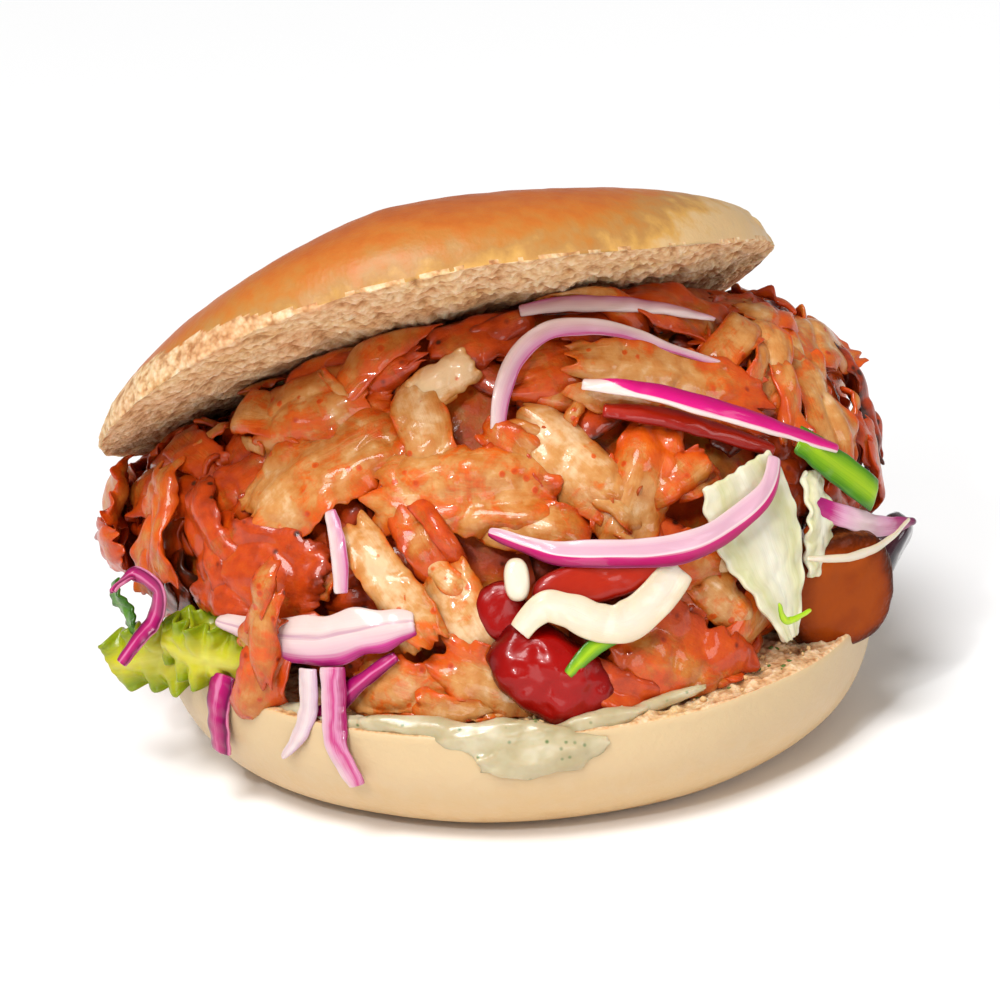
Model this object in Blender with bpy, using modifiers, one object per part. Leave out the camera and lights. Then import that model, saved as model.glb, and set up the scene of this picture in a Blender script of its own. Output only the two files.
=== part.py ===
# A filled sandwich: the two halves of a round roll round a heap of shaved grilled meat,
# with red onion, cabbage, lettuce, tomato, roast vegetables and herb cream.
# The lower half stands on z = 0 with its centre on the origin. The sandwich opens
# towards -Y, and +X is to the right of someone who looks into the opening.

import math
import random

import bmesh
import bpy
from mathutils import Euler, Matrix, Vector, noise

MM = 0.001

# The roll
ROLL_RADIUS = 75 * MM
LOWER_HEIGHT = 25 * MM
LOWER_ROUNDING = 19 * MM
FOOT_RADIUS = 50 * MM
UPPER_HEIGHT = 22 * MM
UPPER_FULLNESS = 2.3
UPPER_FRONT_SWELL = 0.22
UPPER_LEFT_SLOPE = 0.42
UPPER_CENTRE = Vector((-15, 10, 76.5)) * MM
UPPER_TILT = Euler((math.radians(-23), math.radians(-11.3), 0))
UPPER_FRONT_LIFT = 7.8 * MM
UPPER_SIDE_SLEW = 4.8 * MM
UPPER_TORN_END = 75 * MM
ROLL_STEPS = 32

# The heap of meat
HEAP_FOOT_CENTRE = Vector((-2, 3)) * MM
HEAP_FOOT_RADIUS = 62 * MM
HEAP_CROWN_CENTRE = Vector((8, 12)) * MM
HEAP_CROWN_RADII = Vector((54, 46)) * MM
HEAP_BULGE = 5 * MM
HEAP_BULGE_RIGHT = 13 * MM
HEAP_BULGE_LEFT = 12 * MM
HEAP_BULGE_FRONT = 2 * MM
SLICE_THICKNESS = 3.2 * MM
CLEARANCE = 0.6 * MM
SEED = 11

# Shaved meat on the front of the heap. A place is the angle round the heap from its
# front, positive to the right, and the share of the way up from one bread to the other.
# name: (around, up, length mm, width mm, turn, bend, hook, cup, tip, out mm), angles in
# degrees. Turn 0 lies level and 90 stands up, bend and cup arch the slice, hook curls
# its far end and tip lifts that end off the heap.
SLICES = {
    "fold_loop": (-41, 0.86, 26, 11, 160, 60, 150, 20, 10, 5),
    "shoulder": (-31, 0.85, 27, 17, 8, 40, 0, 95, 0, 4),
    "broad": (-27, 0.70, 40, 21, 28, 30, 20, 40, 0, 4),
    "upper_roll": (-22, 0.92, 32, 14, 8, 20, 0, 130, 0, 2),
    "centre_big": (-2, 0.58, 38, 21, -8, 35, 0, 70, 0, 5),
    "neck": (-8, 0.75, 25, 11, 100, 30, 20, 60, 0, 3),
    "pale_chip": (-3, 0.85, 14, 9, 20, 20, 0, 20, 8, 3),
    "red_lump": (5, 0.93, 20, 13, 10, 40, 0, 60, 0, 2),
    "left_roll": (-68, 0.69, 38, 16, 2, 30, 20, 80, 0, 4),
    "left_end": (-84, 0.56, 24, 19, 35, 20, -30, 40, 10, 7),
    "striated": (-62, 0.55, 27, 12, 100, 30, 0, 70, 0, 6),
    "red_ridge": (-50, 0.52, 24, 14, -55, 40, 0, 80, 0, 5),
    "big_red": (-41, 0.41, 34, 24, -12, 50, 0, 90, 0, 5),
    "dark_low": (-82, 0.42, 26, 11, 15, 20, 20, 60, 0, 8),
    "red_mid": (-46, 0.67, 20, 12, 25, 30, 0, 50, 0, 2),
    "tail_top": (-43, 0.26, 24, 8, 80, 40, 30, 60, 5, 9),
    "tail_loop": (-49, 0.07, 26, 15, 60, 50, 40, 90, 0, 8),
    "arch": (-12, 0.50, 36, 8, -66, 90, 20, 50, 5, 5),
    "pale_diagonal": (-16, 0.36, 30, 10, -58, 20, 0, 30, 0, 8),
    "pale_curve": (-5, 0.27, 22, 14, -60, 60, 0, 50, 0, 6),
    "rim_gold": (-17, 0.04, 26, 18, -20, 40, 0, 80, 0, 7),
    "shreds": (-3, 0.08, 24, 14, -30, 20, 0, 40, 0, 6),
    "rim_curl": (-9, 0.00, 20, 9, -15, 40, 40, 60, 0, 8),
    "centre_roll": (17, 0.62, 28, 17, -52, 40, 0, 130, 0, 4),
    "small_curl": (8, 0.66, 16, 8, -40, 40, 110, 40, 0, 4),
    "orange_sheet": (28, 0.53, 28, 14, 62, 30, 0, 50, 0, 4),
    "orange_flap": (34, 0.53, 15, 8, 25, 20, 0, 30, 10, 5),
    "big_right": (38, 0.74, 44, 17, -22, 25, 0, 45, 0, 5),
    "ribbon_outer": (60, 0.76, 30, 12, 62, 110, 30, 20, 5, 6),
    "ribbon_inner": (53, 0.80, 24, 9, 30, 60, 30, 30, 5, 6),
    "ribbon_tail": (59, 0.64, 18, 6, 82, 30, 0, 40, 0, 6),
    "crown_orange": (49, 0.91, 28, 16, -30, 30, 0, 40, 0, 3),
    "crown_red": (72, 0.87, 26, 12, -16, 50, 0, 60, 0, 3),
    "jagged": (80, 0.76, 34, 16, -22, 20, 0, 30, 8, 5),
    "pink_upright": (69, 0.60, 26, 16, 82, 30, 0, 50, 0, 5),
    "burnt_edge": (89, 0.55, 28, 12, 84, 30, 0, 50, 0, 6),
    "right_red": (84, 0.38, 22, 13, -60, 30, 0, 50, 0, 6),
    "low_orange": (33, 0.27, 25, 16, 22, 30, 0, 40, 0, 4),
    "low_pale": (39, 0.19, 18, 10, -52, 40, 0, 60, 0, 5),
    "front_glazed": (29, 0.06, 33, 23, -38, 40, 0, 80, 0, 7),
    "front_fold": (43, 0.08, 26, 14, 34, 40, 0, 100, 0, 5),
    "upper_brown": (20, 0.84, 24, 15, 5, 30, 0, 40, 0, 2),
    "upper_red": (31, 0.91, 20, 12, 10, 30, 0, 50, 0, 2),
    "left_crown": (-88, 0.84, 30, 18, 10, 30, 0, 60, 0, 5),
}

# Strips of salad. name: (width mm, thickness mm, roll, points), where roll turns the
# strip's face about its length and a point is (around, up, mm out from the heap).
STRIPS = {
    "onion_top": (4.6, 2.4, 0, ((14, 0.965, 4), (22, 0.96, 5), (30, 0.94, 6), (38, 0.92, 6),
                                (46, 0.89, 6), (52, 0.86, 6))),
    "onion_arch": (4.8, 2.6, 10, ((5, 0.68, 4), (7, 0.77, 6), (11, 0.85, 7), (17, 0.89, 8),
                                  (24, 0.89, 8), (32, 0.865, 7), (40, 0.815, 6), (50, 0.75, 6))),
    "onion_magenta": (5.4, 2.6, 0, ((21, 0.765, 8), (29, 0.725, 11), (36, 0.68, 12),
                                    (44, 0.625, 12), (52, 0.57, 11), (61, 0.50, 11))),
    "onion_ring": (6.6, 3.4, 0, ((1, 0.46, 8), (6, 0.42, 10), (11, 0.385, 12), (18, 0.37, 13),
                                 (25, 0.36, 13), (32, 0.365, 13), (39, 0.40, 12), (45, 0.45, 12),
                                 (49, 0.52, 10))),
    "onion_wedge": (11, 4.5, 0, ((-47, 0.27, 8), (-38, 0.23, 10), (-29, 0.225, 11),
                                 (-20, 0.235, 11), (-14, 0.235, 10))),
    "onion_small": (4, 2.2, 0, ((-24, 0.55, 10), (-23, 0.46, 11), (-23.5, 0.34, 11))),
    "onion_hanging_pale": (4.4, 1.6, 0, ((-31, 0.155, 12), (-32, 0.06, 13), (-33.5, 0.0, 15.5),
                                         (-37, -0.05, 18))),
    "onion_hanging_pink": (5, 2.2, 0, ((-27, 0.155, 11.5), (-27.5, 0.05, 13.5), (-27, -0.03, 17),
                                       (-24.5, -0.13, 18))),
    "red_cabbage_loop": (4.6, 2.2, 0, ((-58, 0.38, 21), (-58, 0.41, 15), (-56, 0.36, 12),
                                     (-58, 0.29, 13), (-59, 0.26, 17), (-60, 0.23, 22))),
    "red_cabbage_hanging": (6.4, 2.6, 0, ((-50, 0.12, 10), (-51, 0.05, 15), (-51, -0.03, 20))),
    "red_cabbage_front": (4.4, 2.4, 0, ((-17, 0.17, 9), (-24, 0.10, 10), (-30, 0.03, 11),
                                        (-40, -0.01, 11), (-47, 0.0, 11))),
    "red_cabbage_right": (4.6, 2.2, 0, ((56, 0.39, 8), (63, 0.33, 10), (70, 0.29, 12.5),
                                        (78, 0.28, 16))),
    "cabbage_wave": (7, 3.6, 0, ((3, 0.20, 11), (8, 0.27, 13), (13, 0.23, 13), (18, 0.20, 13),
                                 (23, 0.25, 13), (28, 0.31, 11))),
    "cabbage_thread": (2.6, 1.5, 0, ((50, 0.285, 13), (58, 0.265, 14), (66, 0.27, 15),
                                     (74, 0.30, 16))),
    "leek": (7.6, 1.6, 0, ((54, 0.55, 10.5), (60.5, 0.46, 10.5), (67, 0.37, 12.5))),
    "green_strip": (4, 1.6, 0, ((9, 0.10, 14), (14, 0.16, 13), (20, 0.19, 12))),
    "green_sprig": (2, 1.2, 0, ((44, 0.20, 13.5), (45.5, 0.155, 13.5), (50, 0.17, 14))),
    "tomato_strip": (7, 4, 0, ((24, 0.71, 5), (33, 0.67, 7), (42, 0.61, 7), (51, 0.54, 7))),
    "onion_back_left": (5, 2.4, 0, ((-150, 0.35, 7), (-140, 0.55, 9), (-128, 0.62, 9),
                                    (-116, 0.50, 8))),
    "onion_back_right": (5, 2.4, 0, ((128, 0.60, 7), (140, 0.38, 9), (154, 0.34, 9),
                                     (164, 0.55, 8))),
    "onion_right_side": (5, 2.4, 0, ((92, 0.14, 9), (101, 0.22, 10), (112, 0.18, 9),
                                     (120, 0.06, 9))),
    "red_cabbage_back": (5, 2.2, 0, ((170, 0.40, 7), (180, 0.28, 9), (190, 0.36, 9),
                                     (200, 0.20, 10))),
    "red_cabbage_back_left": (5, 2.2, 0, ((-122, 0.20, 9), (-112, 0.28, 10), (-103, 0.16, 11),
                                          (-99, -0.02, 13))),
}

# Leaves and thin slices, placed as the slices of meat are.
# name: (around, up, length mm, width mm, turn, bend, cup, out mm, thickness mm, swing),
# where swing turns the piece's face about the heap's wall, to the left seen from outside.
LEAVES = {
    "cabbage_leaf": (46, 0.30, 38, 19, -78, 20, 30, 8, 1.8, 0),
    "cabbage_fold": (57, 0.34, 20, 7, 82, 30, 30, 8, 1.8, 0),
    "lettuce_left": (-61, 0.17, 34, 16, 8, 20, 40, 11, 1.8, 35),
    "lettuce_dark": (-66, 0.31, 12, 6, -60, 20, 30, 13, 1.6, 0),
    "lettuce_back": (146, 0.20, 38, 15, 5, 20, 40, 8, 1.8, 0),
    "lettuce_back_left": (-158, 0.22, 34, 15, -6, 20, 40, 8, 1.8, 0),
    "lettuce_right": (110, 0.12, 28, 13, 4, 20, 40, 8, 1.8, 0),
}

# Thick pieces. name: (around, up, length mm, width mm, thickness mm, turn, out mm, swing)
SLABS = {
    "roast_slice": (63, 0.155, 25, 25, 8, -80, 8.5, -36),
    "aubergine": (86, 0.11, 28, 14, 8, 86, 12, -16),
    "tomato_slice": (17, 0.315, 28, 9, 6, 6, 9, 0),
    "tomato_wedge": (7, 0.09, 26, 17, 12, -38, 7, 0),
    "tomato_back": (1, 0.26, 12, 10, 6, -70, 5, 0),
    "cabbage_core": (4, 0.335, 8.5, 5, 5, 88, 10, 0),
    "tomato_rear": (176, 0.62, 24, 12, 8, 10, 4, 0),
    "cream": (4, -0.06, 46, 13, 6, 3, 15, 0),
}

# name: (colour, roughness)
LOOKS = {
    "crust": ((0.78, 0.46, 0.17), 0.55),
    "lower_crust": ((0.86, 0.68, 0.42), 0.6),
    "meat": ((0.62, 0.27, 0.08), 0.35),
    "onion": ((0.83, 0.55, 0.66), 0.3),
    "red_cabbage": ((0.42, 0.03, 0.24), 0.35),
    "cabbage": ((0.86, 0.84, 0.66), 0.35),
    "green": ((0.35, 0.52, 0.06), 0.4),
    "tomato": ((0.66, 0.02, 0.01), 0.25),
    "roast": ((0.62, 0.25, 0.04), 0.4),
    "aubergine": ((0.05, 0.02, 0.04), 0.2),
    "cream": ((0.88, 0.87, 0.74), 0.35),
}
LOOK_OF = {
    "onion": "onion", "red": "red_cabbage", "cabbage": "cabbage", "lettuce": "green",
    "leek": "green", "green": "green", "tomato": "tomato", "roast": "roast",
    "aubergine": "aubergine", "cream": "cream",
}


def clear_scene():
    for obj in list(bpy.data.objects):
        bpy.data.objects.remove(obj)


def new_collection(name, hidden=False):
    collection = bpy.data.collections.new(name)
    collection.hide_render = hidden
    bpy.context.scene.collection.children.link(collection)
    return collection


def make_material(name):
    colour, roughness = LOOKS[name]
    material = bpy.data.materials.new(name)
    material.use_nodes = True
    shader = material.node_tree.nodes["Principled BSDF"]
    shader.inputs["Base Color"].default_value = (*colour, 1)
    shader.inputs["Roughness"].default_value = roughness
    return material


def new_object(name, mesh, collection, material=None):
    obj = bpy.data.objects.new(name, mesh)
    collection.objects.link(obj)
    if material:
        mesh.materials.append(material)
    return obj


def mesh_from(bm, name):
    mesh = bpy.data.meshes.new(name)
    bm.to_mesh(mesh)
    bm.free()
    return mesh


def apply_modifiers(obj):
    bpy.context.view_layer.update()
    evaluated = obj.evaluated_get(bpy.context.evaluated_depsgraph_get())
    old = obj.data
    obj.data = bpy.data.meshes.new_from_object(evaluated)
    obj.modifiers.clear()
    bpy.data.meshes.remove(old)


# The roll's halves are turned profiles.

def turned(name, profile, collection):
    bm = bmesh.new()
    corners = [bm.verts.new((radius, 0, height)) for radius, height in profile]
    for first, second in zip(corners, corners[1:]):
        bm.edges.new((first, second))
    obj = new_object(name, mesh_from(bm, name), collection)
    screw = obj.modifiers.new("Turn", "SCREW")
    screw.steps = screw.render_steps = ROLL_STEPS
    screw.use_merge_vertices = True
    screw.merge_threshold = 0.0001
    apply_modifiers(obj)
    return obj


def lower_profile():
    steps = 5
    rounding = []
    for i in range(steps + 1):
        angle = math.radians(90 * i / steps)
        reach = ROLL_RADIUS - LOWER_ROUNDING + LOWER_ROUNDING * math.cos(angle)
        height = LOWER_ROUNDING * (1 - math.sin(angle))
        rounding.append((max(reach, FOOT_RADIUS), height))
    outer = [(0, LOWER_HEIGHT), (ROLL_RADIUS * 0.6, LOWER_HEIGHT),
             (ROLL_RADIUS - 1 * MM, LOWER_HEIGHT), (ROLL_RADIUS, LOWER_HEIGHT - 1.5 * MM)]
    profile = outer + rounding[:-1] + [(FOOT_RADIUS, 0), (0, 0)]
    return profile


def upper_profile():
    """From the crown's middle down the outer side and back in along the cut face."""
    steps = 7
    profile = []
    for i in range(steps + 1):
        angle = math.radians(90 * (1 - i / steps))
        reach = ROLL_RADIUS * math.cos(angle) ** (2 / UPPER_FULLNESS)
        height = UPPER_HEIGHT * math.sin(angle) ** (2 / UPPER_FULLNESS)
        profile.append((reach if i else 0, height))
    return profile + [(ROLL_RADIUS * 0.72, 0), (ROLL_RADIUS * 0.4, 0), (0, 0)]


def upper_settle(x, y):
    """How far the soft upper half has bent out of its plane there: its front is lifted."""
    along = x / ROLL_RADIUS
    lift = UPPER_FRONT_LIFT * (-y / ROLL_RADIUS) * (1 - along ** 2)
    return lift + UPPER_SIDE_SLEW * along ** 3


def shape_upper(obj):
    for vertex in obj.data.vertices:
        x, y, z = vertex.co
        left = max(0, -x / ROLL_RADIUS)
        x *= 1 - 0.04 * left
        z *= (1 - UPPER_FRONT_SWELL * y / ROLL_RADIUS) * (1 - UPPER_LEFT_SLOPE * left)
        torn = UPPER_TORN_END - 0.6 * z + 0.8 * MM * math.sin(y * 400)
        vertex.co.z = z + upper_settle(x, y)
        vertex.co.x = min(x, torn)


def upper_matrix():
    return Matrix.LocRotScale(UPPER_CENTRE, UPPER_TILT, None)


def make_roll(collection):
    lower = turned("roll_lower", lower_profile(), collection)
    lower.data.materials.append(make_material("lower_crust"))
    upper = turned("roll_upper", upper_profile(), collection)
    upper.data.materials.append(make_material("crust"))
    shape_upper(upper)
    upper.matrix_world = upper_matrix()
    for obj in (lower, upper):
        obj.data.shade_smooth()
        obj.data.set_sharp_from_angle(angle=math.radians(40))
    return [lower, upper]


# The heap's surface, which every piece of the filling is placed on.

def heap_point(around, up, share=1.0):
    """A point at this angle round the heap, this far up, and this share out from its axis."""
    side = math.sin(math.radians(around))
    front = math.cos(math.radians(around))
    foot = Vector((HEAP_FOOT_CENTRE.x + HEAP_FOOT_RADIUS * share * side,
                   HEAP_FOOT_CENTRE.y - HEAP_FOOT_RADIUS * share * front,
                   LOWER_HEIGHT + CLEARANCE))
    x = HEAP_CROWN_CENTRE.x + HEAP_CROWN_RADII.x * share * side
    y = HEAP_CROWN_CENTRE.y - HEAP_CROWN_RADII.y * share * front
    crown = upper_matrix() @ Vector((x, y, upper_settle(x, y) - CLEARANCE))
    bulge = HEAP_BULGE + HEAP_BULGE_FRONT * max(0, front) ** 2
    bulge += HEAP_BULGE_RIGHT * max(0, side) ** 2 + HEAP_BULGE_LEFT * max(0, -side) ** 2
    outward = Vector((side, -front, 0)) * bulge * 4 * up * (1 - up) * share
    return foot.lerp(crown, up) + outward


def heap_frame(around, up, out, turn=0.0, swing=0.0):
    """Axes on the heap's surface: x along the piece, y across it and z out of the heap."""
    here = heap_point(around, up)
    side = (heap_point(around + 0.5, up) - heap_point(around - 0.5, up)).normalized()
    rise = (heap_point(around, up + 0.01) - heap_point(around, up - 0.01)).normalized()
    outward = side.cross(rise).normalized()
    facing = Matrix.Rotation(math.radians(swing), 3, rise)
    normal = facing @ outward
    along = Matrix.Rotation(math.radians(turn), 3, normal) @ facing @ side
    across = normal.cross(along)
    frame = Matrix((along, across, normal)).transposed().to_4x4()
    frame.translation = here + outward * out
    return frame


def make_core(collection, material):
    """The middle of the heap: a ball whose rows become its foot, its wall and its crown."""
    rows = 8
    shares = {0: 0, 1: 0.55, 2: 1, rows - 2: 1, rows - 1: 0.55, rows: 0}
    bm = bmesh.new()
    bmesh.ops.create_uvsphere(bm, u_segments=20, v_segments=rows, radius=1)
    for vertex in bm.verts:
        row = round(math.degrees(math.acos(max(-1, min(1, -vertex.co.z)))) * rows / 180)
        share = shares.get(row, 1)
        up = min(1, max(0, (row - 2) / (rows - 4)))
        around = math.degrees(math.atan2(vertex.co.x, -vertex.co.y))
        vertex.co = heap_point(around, up, share)
    return new_object("core", mesh_from(bm, "core"), collection, material)


def arc_offset(share, half_size, degrees):
    """Along and out of plane, at this share of a strip that is bent evenly by degrees."""
    angle = math.radians(degrees)
    if abs(angle) < 0.01:
        return half_size * share, 0.0
    radius = 2 * half_size / angle
    return radius * math.sin(share * angle / 2), -radius * (1 - math.cos(share * angle / 2))


def grid_sheet(name, cells, place, thickness, collection):
    """A grid whose points are put where place(along, across) says, given its thickness."""
    bm = bmesh.new()
    bmesh.ops.create_grid(bm, x_segments=cells[0], y_segments=cells[1], size=1)
    for vertex in bm.verts:
        vertex.co = place(vertex.co.x, vertex.co.y)
    bmesh.ops.triangulate(bm, faces=bm.faces)
    obj = new_object(name, mesh_from(bm, name), collection)
    solidify = obj.modifiers.new("Thickness", "SOLIDIFY")
    solidify.thickness = thickness
    solidify.offset = 0
    apply_modifiers(obj)
    return obj


def slice_place(frame, length, width, bend, hook, cup, tip, seed):
    """Where a point of a slice of meat goes: arched both ways, ragged and a little wavy."""
    lean = Matrix.Rotation(math.radians(-tip), 4, "Y")

    def place(along, across):
        ragged = 1 + 0.22 * noise.noise(Vector((along * 1.3, seed, across * 0.4)))
        narrowing = 1 - 0.28 * along ** 4
        reach = 1 + 0.14 * noise.noise(Vector((seed, across * 1.7, along)))
        x, z_bend = arc_offset(along * reach, length / 2, bend)
        y, z_cup = arc_offset(across * ragged * narrowing, width / 2, cup)
        curl = max(0, along - 0.25)
        x -= length * 0.30 * curl ** 2 * math.sin(math.radians(abs(hook) / 2))
        z_hook = -length * 0.34 * curl ** 1.6 * math.sin(math.radians(hook / 1.5))
        wave = 1.4 * MM * noise.noise(Vector((x * 90, y * 90, seed)))
        return frame @ lean @ Vector((x, y, z_bend + z_cup + z_hook + wave))

    return place


def make_slice(name, row, seed, collection, material):
    around, up, length, width, turn, bend, hook, cup, tip, out = row
    cells = (2 + (length > 24) + (length > 33), 1 + (width > 10))
    frame = heap_frame(around, up, out * MM, turn)
    place = slice_place(frame, length * MM, width * MM, bend, hook, cup, tip, seed)
    piece = grid_sheet(name, cells, place, SLICE_THICKNESS, collection)
    piece.data.materials.append(material)
    return piece


def rear_slices():
    """Rows for the meat on the sides and the back, laid in staggered courses."""
    draw = random.Random(SEED)
    rows = []
    for course, up in enumerate((0.16, 0.48, 0.82)):
        for step in range(5):
            around = 110 + 34 * step + 13 * (course % 2) + draw.uniform(-4, 4)
            rows.append((around, up + draw.uniform(-0.05, 0.05), draw.uniform(40, 48),
                         draw.uniform(22, 27), draw.uniform(-70, 70), draw.uniform(10, 50),
                         0, draw.uniform(30, 90), draw.uniform(-4, 8), draw.uniform(1, 5)))
    return rows


def smooth_along(points, share):
    """A point of the smooth curve through points, at this share from 0 to 1."""
    place = share * (len(points) - 1)
    i = min(int(place), len(points) - 2)
    t = place - i
    near = [Vector(points[min(max(k, 0), len(points) - 1)]) for k in range(i - 1, i + 3)]
    a, b, c, d = near
    return 0.5 * ((2 * b) + (c - a) * t + (2 * a - 5 * b + 4 * c - d) * t ** 2
                  + (3 * b - 3 * c + d - a) * t ** 3)


def strip_place(points, width, roll):
    """Where a point of a strip goes: it follows its points over the heap, with slim ends."""
    def spot(share):
        around, up, out = smooth_along(points, min(1, max(0, share)))
        return heap_frame(around, up, out * MM)

    def place(along, across):
        share = (along + 1) / 2
        frame = spot(share)
        heading = (spot(share + 0.02).translation - spot(share - 0.02).translation).normalized()
        outward = frame.col[2].to_3d()
        outward = (outward - heading * outward.dot(heading)).normalized()
        outward = Matrix.Rotation(math.radians(roll), 3, heading) @ outward
        sideways = outward.cross(heading)
        slim = 1 - 0.55 * abs(along) ** 5
        return frame.translation + sideways * (across * width / 2 * slim)

    return place


def make_strip(name, collection):
    width, thickness, roll, points = STRIPS[name]
    cells = (2 * len(points) - 2, 1)
    place = strip_place(points, width * MM, roll)
    return grid_sheet(name, cells, place, thickness * MM, collection)


def leaf_place(frame, length, width, bend, cup, seed):
    """A leaf is a wavy sheet, with deeper waves towards its long edges."""
    def place(along, across):
        x, z_bend = arc_offset(along, length / 2, bend)
        y, z_cup = arc_offset(across * (1 - 0.3 * along ** 2), width / 2, cup)
        frill = 2.2 * MM * abs(across) * math.sin(along * 5 + seed)
        return frame @ Vector((x, y, z_bend + z_cup + frill))

    return place


def make_leaf(name, seed, collection):
    around, up, length, width, turn, bend, cup, out, thickness, swing = LEAVES[name]
    frame = heap_frame(around, up, out * MM, turn, swing)
    place = leaf_place(frame, length * MM, width * MM, bend, cup, seed)
    return grid_sheet(name, (5, 2), place, thickness * MM, collection)


def make_slab(name, collection):
    """A thick piece with round edges, a little boxier than an egg."""
    around, up, length, width, thickness, turn, out, swing = SLABS[name]
    frame = heap_frame(around, up, out * MM, turn, swing)
    half = Vector((length, width, thickness)) * MM / 2
    bm = bmesh.new()
    bmesh.ops.create_uvsphere(bm, u_segments=10, v_segments=6, radius=1)
    for vertex in bm.verts:
        boxed = [math.copysign(abs(value) ** 0.8, value) for value in vertex.co]
        vertex.co = frame @ Vector([value * size for value, size in zip(boxed, half)])
    return new_object(name, mesh_from(bm, name), collection)


# Fitting: whatever comes later is cut back from what is already in place.

def box_of(obj, margin=0.0):
    corners = [obj.matrix_world @ vertex.co for vertex in obj.data.vertices]
    low = Vector([min(corner[axis] - margin for corner in corners) for axis in range(3)])
    high = Vector([max(corner[axis] + margin for corner in corners) for axis in range(3)])
    return low, high


def boxes_meet(first, second):
    return all(first[0][i] <= second[1][i] and second[0][i] <= first[1][i] for i in range(3))


def grown_copy(obj, collection):
    """A copy that is CLEARANCE larger all round, to cut its neighbours back with."""
    copy = new_object("room_for_" + obj.name, obj.data.copy(), collection)
    copy.matrix_world = obj.matrix_world
    copy.hide_render = True
    copy.display_type = "WIRE"
    grow = copy.modifiers.new("Grow", "DISPLACE")
    grow.strength = CLEARANCE
    grow.mid_level = 0
    apply_modifiers(copy)
    return copy


def signed_volume(faces):
    total = 0.0
    for face in faces:
        first, *rest = [vertex.co for vertex in face.verts]
        total += sum(first.dot(a.cross(b)) for a, b in zip(rest, rest[1:]))
    return total / 6


def islands_of(bm):
    left = set(bm.faces)
    while left:
        found = {left.pop()}
        border = list(found)
        while border:
            for edge in border.pop().edges:
                fresh = left.intersection(edge.link_faces)
                left -= fresh
                found |= fresh
                border += fresh
        yield found


def keep_largest(obj):
    """Drops loose scraps, and fills a sealed hollow by dropping its wall."""
    bm = bmesh.new()
    bm.from_mesh(obj.data)
    islands = sorted(islands_of(bm), key=signed_volume)
    for island in islands[:-1]:
        bmesh.ops.delete(bm, geom=list(island), context="FACES")
    bmesh.ops.delete(bm, geom=[v for v in bm.verts if not v.link_faces], context="VERTS")
    bm.to_mesh(obj.data)
    bm.free()


def cut_back(obj, cutters):
    """Takes the grown neighbours that it meets out of obj."""
    own_box = box_of(obj)
    for cutter in cutters:
        if boxes_meet(own_box, box_of(cutter)):
            cut = obj.modifiers.new("Room", "BOOLEAN")
            cut.operation = "DIFFERENCE"
            cut.solver = "MANIFOLD"
            cut.object = cutter
    if obj.modifiers:
        apply_modifiers(obj)
        keep_largest(obj)


def join_pieces(core, pieces):
    """One Boolean union of the slices with the heap's core."""
    join = core.modifiers.new("Join", "BOOLEAN")
    join.operation = "UNION"
    join.solver = "MANIFOLD"
    join.operand_type = "COLLECTION"
    join.collection = pieces
    apply_modifiers(core)
    for piece in list(pieces.objects):
        bpy.data.objects.remove(piece)
    keep_largest(core)


def make_heap(collection, loose):
    material = make_material("meat")
    core = make_core(collection, material)
    for seed, (name, row) in enumerate(SLICES.items()):
        make_slice(name, row, seed, loose, material)
    for seed, row in enumerate(rear_slices()):
        make_slice("rear_slice", row, seed + len(SLICES), loose, material)
    join_pieces(core, loose)
    core.name = "meat_heap"
    return core


def make_salad(collection):
    pieces = [make_strip(name, collection) for name in STRIPS]
    pieces += [make_leaf(name, seed, collection) for seed, name in enumerate(LEAVES)]
    pieces += [make_slab(name, collection) for name in SLABS]
    made = {}
    for piece in pieces:
        look = LOOK_OF[piece.name.split("_")[0]]
        if look not in made:
            made[look] = make_material(look)
        piece.data.materials.append(made[look])
    return pieces


def main():
    clear_scene()
    sandwich = new_collection("sandwich")
    cutters = new_collection("cutters", hidden=True)
    loose = new_collection("loose_slices", hidden=True)
    roll = make_roll(sandwich)
    room = [grown_copy(half, cutters) for half in roll]
    for piece in make_salad(sandwich):
        own_room = grown_copy(piece, cutters)
        cut_back(piece, room)
        room.append(own_room)
    heap = make_heap(sandwich, loose)
    cut_back(heap, room)


main()
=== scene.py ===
import math
import random

import bmesh
import bpy
from mathutils import Euler, Matrix, Vector, noise


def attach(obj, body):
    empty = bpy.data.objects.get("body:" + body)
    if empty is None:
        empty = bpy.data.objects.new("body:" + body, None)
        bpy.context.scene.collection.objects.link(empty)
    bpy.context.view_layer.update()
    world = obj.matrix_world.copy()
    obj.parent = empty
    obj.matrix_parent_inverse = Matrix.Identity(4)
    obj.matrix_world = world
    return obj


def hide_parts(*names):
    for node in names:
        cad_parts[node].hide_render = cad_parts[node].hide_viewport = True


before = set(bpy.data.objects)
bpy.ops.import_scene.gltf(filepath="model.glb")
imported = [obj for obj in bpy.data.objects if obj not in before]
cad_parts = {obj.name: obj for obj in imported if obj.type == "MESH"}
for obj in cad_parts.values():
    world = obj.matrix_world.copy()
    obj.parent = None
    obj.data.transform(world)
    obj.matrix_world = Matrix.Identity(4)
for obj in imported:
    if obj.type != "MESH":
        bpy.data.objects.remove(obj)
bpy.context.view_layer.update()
mm = 0.001


# Small helpers

def linear(hexColour):
    channels = [int(hexColour[i:i + 2], 16) / 255 for i in (0, 2, 4)]
    return [c / 12.92 if c <= 0.04045 else ((c + 0.055) / 1.055) ** 2.4 for c in channels] + [1]


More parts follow.
